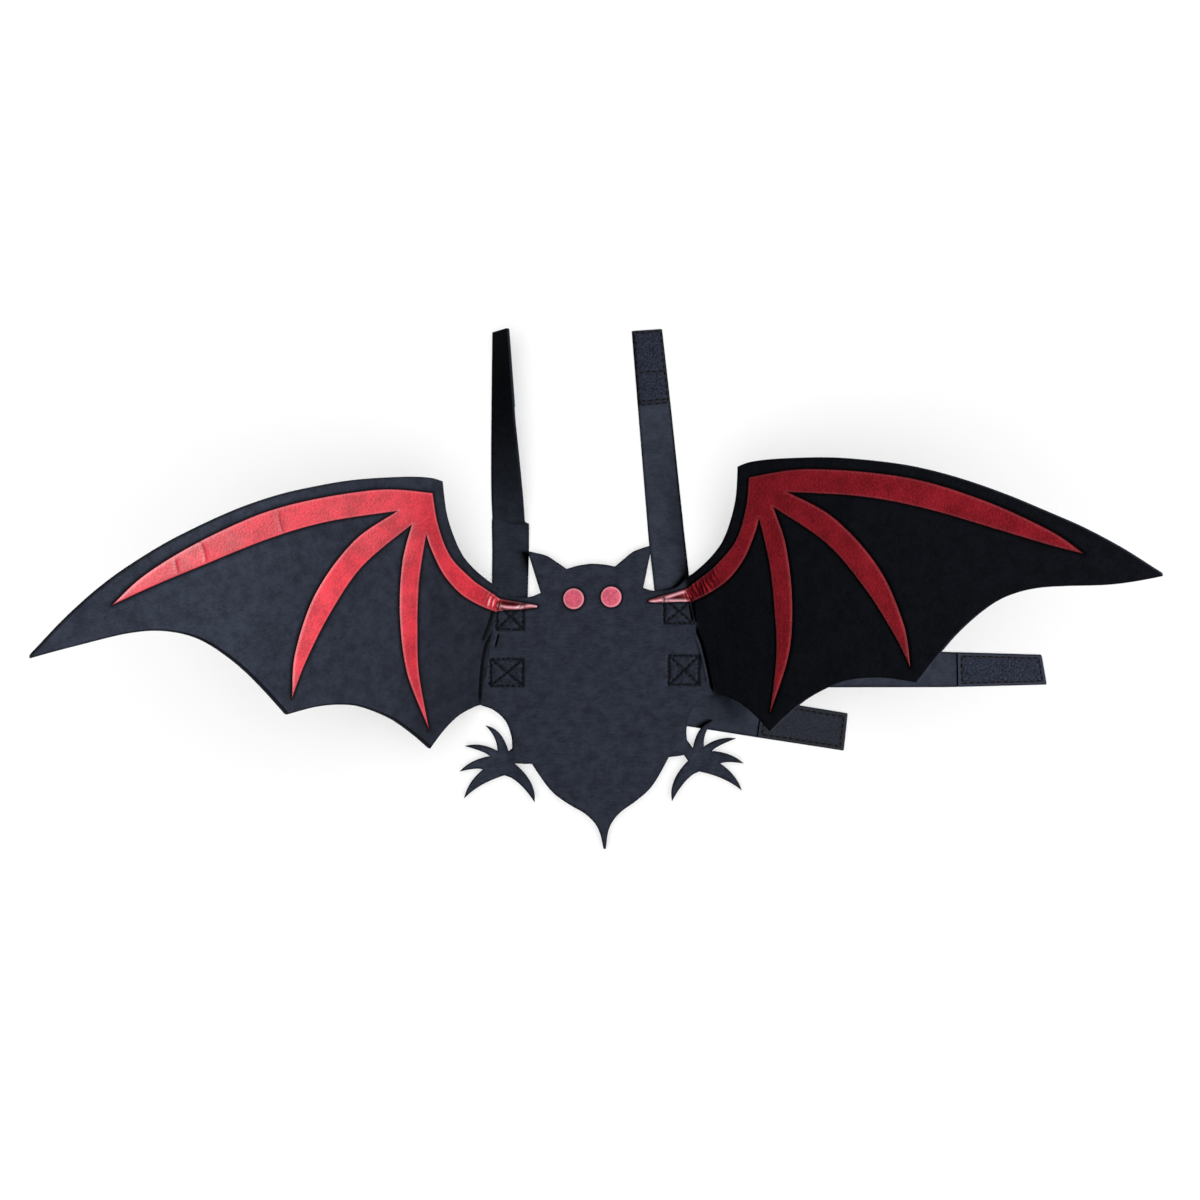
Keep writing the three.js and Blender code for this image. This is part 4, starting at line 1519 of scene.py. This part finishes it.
def strip_piece(name, rows, inset, low, high, rounding, columns, material):
    """A flat strip with rounded edges along the stations of a strap.

    Also gives, for each of its points, the distance along the strip, the distance across it from its middle,
    and which of its cut edges the point is on: -1, 0 or 1."""
    middles, across, up, half = strap_frames(rows)
    ring = strip_ring(rounding, columns)
    fuzz = np.abs(lumps("strap fuzz", middles[:, :2]) * STRAP_FUZZ)
    along = travelled(middles)
    places, spots = [], []
    for middle, sideways, above, wide, lift, distance in zip(middles, across, up, half, fuzz, along):
        for side, set_in, share in ring:
            reach = side * (wide - inset - set_in)
            places.append(middle + sideways * reach + above * (low + (high - low) * share + lift * share))
            spots.append((distance, reach, side if abs(side) == 1 else 0))
    around = len(ring)
    last = (len(rows) - 1) * around
    faces = [list(range(around))[::-1], [last + i for i in range(around)]]
    for start in range(0, last, around):
        faces += [(a, d, c, b) for a, b, c, d in wall(start, start + around, around)]
    piece = new_piece(name, places, faces, material)
    mesh = bmesh.new()
    mesh.from_mesh(piece.data)
    bmesh.ops.recalc_face_normals(mesh, faces=mesh.faces)
    mesh.to_mesh(piece.data)
    mesh.free()
    return piece, np.array(spots)


class HARNESS_OT_straps(bpy.types.Operator):
    """Make the two neck straps and the two belly straps"""

    bl_idname = "harness.straps"
    bl_label = "Straps"

    def execute(self, context):
        colours = context.scene.harness_colours
        material = felt_material("thin_felt", colours.strap, fine=1100, contrast=0.24)
        for node, rows in STRAP_ROWS.items():
            line = stations(rows)
            piece, spots = strip_piece(
                node + "_felt", line, 0, -STRAP / 2, STRAP / 2, STRAP_ROUNDING, STRAP_COLUMNS,
                material,
            )
            # Painted light and shade along the strap, and painted shade on its cut edges
            tone = STRAP_PAINTED_SHADING[node]
            at, shade = zip(*tone["face"])
            face = np.interp(spots[:, 0] / spots[:, 0].max(), at, shade)
            add_values(piece, TONE, face * np.choose(spots[:, 2].astype(int) + 1, tone["edges"]))
            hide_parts(node)
            length = float(travelled(line[:, :3])[-1]) * MM
        return {"FINISHED"}


# Patches


def patch_seams(patch, along, half):
    """Lines sewn through a patch, as distances along and across it: its border and the lines across it."""
    inset, total = patch["inset"], along[-1]
    wide = half - inset
    distance = np.linspace(inset, total - inset, SEAM["steps"])
    side = np.stack([distance, np.interp(distance, along, wide)], axis=1)
    both = np.array([[1, 1], [1, -1]])
    seams = [side, side * both[1], side[[0, 0]] * both, side[[-1, -1]] * both]
    for from_end in patch["lines"]:
        seams.append(np.array([[total - from_end, -wide.min()], [total - from_end, wide.min()]]))
    return seams


def patch_pile(patch, along, half, placed, high, draw):
    """The hooks or loops that stand on a patch, clear of its seams."""
    kind, total = PILE[patch["pile"]], along[-1]
    hairs = Threads(HAIR_SIDES)
    arc = np.linspace(0, math.pi * kind["turn"], HAIR_STEPS)
    radii = np.full(HAIR_STEPS, HAIR_RADIUS)
    for start in np.arange(HAIR["first"], total - HAIR["last"], kind["apart"]):
        wide = np.interp(start, along, half)
        reach = wide - HAIR["side"]
        widest = reach + HAIR["border"]
        for side in np.arange(-reach, reach, kind["apart"]):
            spot = np.array([start, side]) + draw.normal(0, HAIR["astray"], 2)
            from_end = total - spot[0]
            if any(abs(from_end - line) < HAIR["clear"] for line in patch["lines"]):
                continue
            if min(spot[0], from_end, wide - abs(spot[1])) < patch["inset"] + HAIR["border"]:
                continue
            turn = draw.uniform(0, math.pi)
            width = draw.uniform(*HAIR_WIDE)
            tall = kind["tall"] * high * draw.uniform(*HAIR_TALL)
            flat = spot + np.outer(-width * np.cos(arc), [math.cos(turn), math.sin(turn)])
            flat[:, 1] = np.clip(flat[:, 1], -widest, widest)
            hairs.add(placed(flat, -HAIR["sunk"] + (tall + HAIR["sunk"]) * np.sin(arc)), radii)
    return hairs


class HARNESS_OT_patches(bpy.types.Operator):
    """Make the hook-and-loop patches with their pile and stitches"""

    bl_idname = "harness.patches"
    bl_label = "Patches"

    def execute(self, context):
        sizes, colours = context.scene.harness_sizes, context.scene.harness_colours
        tapes, piles = {}, {}
        for kind, values in PILE.items():
            colour = tinted(colours.fastener, values["tint"])
            tapes[kind] = tape_material(kind + "_tape", colour)
            piles[kind] = felt_material(
                kind + "_pile", tinted(colour, PILE_TINT), fine=1600, contrast=0.85, by_point=False
            )
        thread = thread_material("patch_thread", colours.thread)
        draw = np.random.default_rng(PATCH_SEED)
        for node, patch in PATCHES.items():
            rows = last_stretch(stations(STRAP_ROWS[patch["strap"]], PATCH_STEP), patch["length"])
            face = patch["face"]
            low, high = sorted((face * TAPE_LOW, face * TAPE_TOP))
            tape, spots = strip_piece(
                node + "_tape", rows, TAPE_INSET, low, high, TAPE_ROUNDING, TAPE_COLUMNS,
                tapes[patch["pile"]],
            )
            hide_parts(node)
            *surface, half = strap_frames(rows)
            along = travelled(surface[0])

            def placed(flat, lift):
                """Places on the patch: distance from its start, distance across it, height above the tape."""
                middle, sideways, above = [found_at(flat[:, 0], along, each) for each in surface]
                return middle + sideways * flat[:, 1:] + above * (face * (TAPE_TOP + lift))[:, None]

            def on_tape(flat, lift):
                """Places of a stitch on the patch, which is pulled down into the tape."""
                return placed(flat, SEAM_STITCH["lift"] * lift - SEAM_STITCH["sunk"])

            seams = patch_seams(patch, along, half)
            away = np.min([distance_to(seam, spots[:, :2])[0] for seam in seams], axis=0)
            add_values(tape, TONE, 1 - SEAM["dark"] * bell(away, SEAM["wide"]))
            hairs = patch_pile(patch, along, half, placed, in_mm(sizes.pile_height), draw)
            pile = hairs.piece(node + "_pile", piles[patch["pile"]], "fastener")
            threads = Threads(STITCH_SIDES)
            for seam in seams:
                sew(threads, seam, on_tape, SEAM_STITCH["pitch"], SEAM_STITCH["thread"], draw, SEAM["uneven"])
            stitches = threads.piece(node + "_stitches", thread)
        return {"FINISHED"}


class HARNESS_OT_stitches(bpy.types.Operator):
    """Make the boxes with a cross that hold the straps to the felt"""

    bl_idname = "harness.stitches"
    bl_label = "Stitches"

    def execute(self, context):
        sizes, colours = context.scene.harness_sizes, context.scene.harness_colours
        top = in_mm(sizes.felt_thickness) / 2 - BOX_SUNK["in_felt"]
        draw = np.random.default_rng(BOX_SEED)
        threads = Threads(STITCH_SIDES)

        def placed(points, lift):
            """Places on the felt, lower where the film covers the thread."""
            under = np.where(on_film(points), BOX_SUNK["in_film"], 0.0)
            return on_felt(points, top - under + lift, in_mm(sizes.wing_waves))

        for line in [line for box in SEWN_BOXES for line in box_lines(box)]:
            for _ in range(BOX_PASSES):
                askew = np.array(line) + draw.normal(0, BOX_ASKEW, (2, 2))
                sew(threads, askew, placed, in_mm(sizes.stitch), in_mm(sizes.thread), draw, BOX_UNEVEN)
        threads.piece("sewn_boxes", thread_material("box_thread", tinted(colours.thread, BOX_THREAD_TINT)))
        return {"FINISHED"}


class HARNESS_PT_panel(bpy.types.Panel):
    """The harness's pieces, sizes and colours"""

    bl_label = "Harness"
    bl_idname = "HARNESS_PT_panel"
    bl_space_type = "VIEW_3D"
    bl_region_type = "UI"
    bl_category = "Harness"

    def draw(self, context):
        layout = self.layout
        for operator in OPERATORS:
            layout.operator(operator.bl_idname)
        for group in (context.scene.harness_sizes, context.scene.harness_colours):
            for name in group.__annotations__:
                layout.prop(group, name)


OPERATORS = (
    HARNESS_OT_stage,
    HARNESS_OT_felt,
    HARNESS_OT_film,
    HARNESS_OT_straps,
    HARNESS_OT_patches,
    HARNESS_OT_stitches,
)
CLASSES = (HarnessSizes, HarnessColours, *OPERATORS, HARNESS_PT_panel)


def register():
    """Makes the classes known, and gives each scene the sizes and colours."""
    for made in CLASSES:
        bpy.utils.register_class(made)
    bpy.types.Scene.harness_sizes = bpy.props.PointerProperty(type=HarnessSizes)
    bpy.types.Scene.harness_colours = bpy.props.PointerProperty(type=HarnessColours)


def unregister():
    """Takes back what register does."""
    del bpy.types.Scene.harness_colours
    del bpy.types.Scene.harness_sizes
    for made in reversed(CLASSES):
        bpy.utils.unregister_class(made)


def main():
    """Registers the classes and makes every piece."""
    register()
    bpy.ops.harness.stage()
    bpy.ops.harness.felt()
    bpy.ops.harness.film()
    bpy.ops.harness.straps()
    bpy.ops.harness.patches()
    bpy.ops.harness.stitches()


if __name__ == "__main__":
    main()
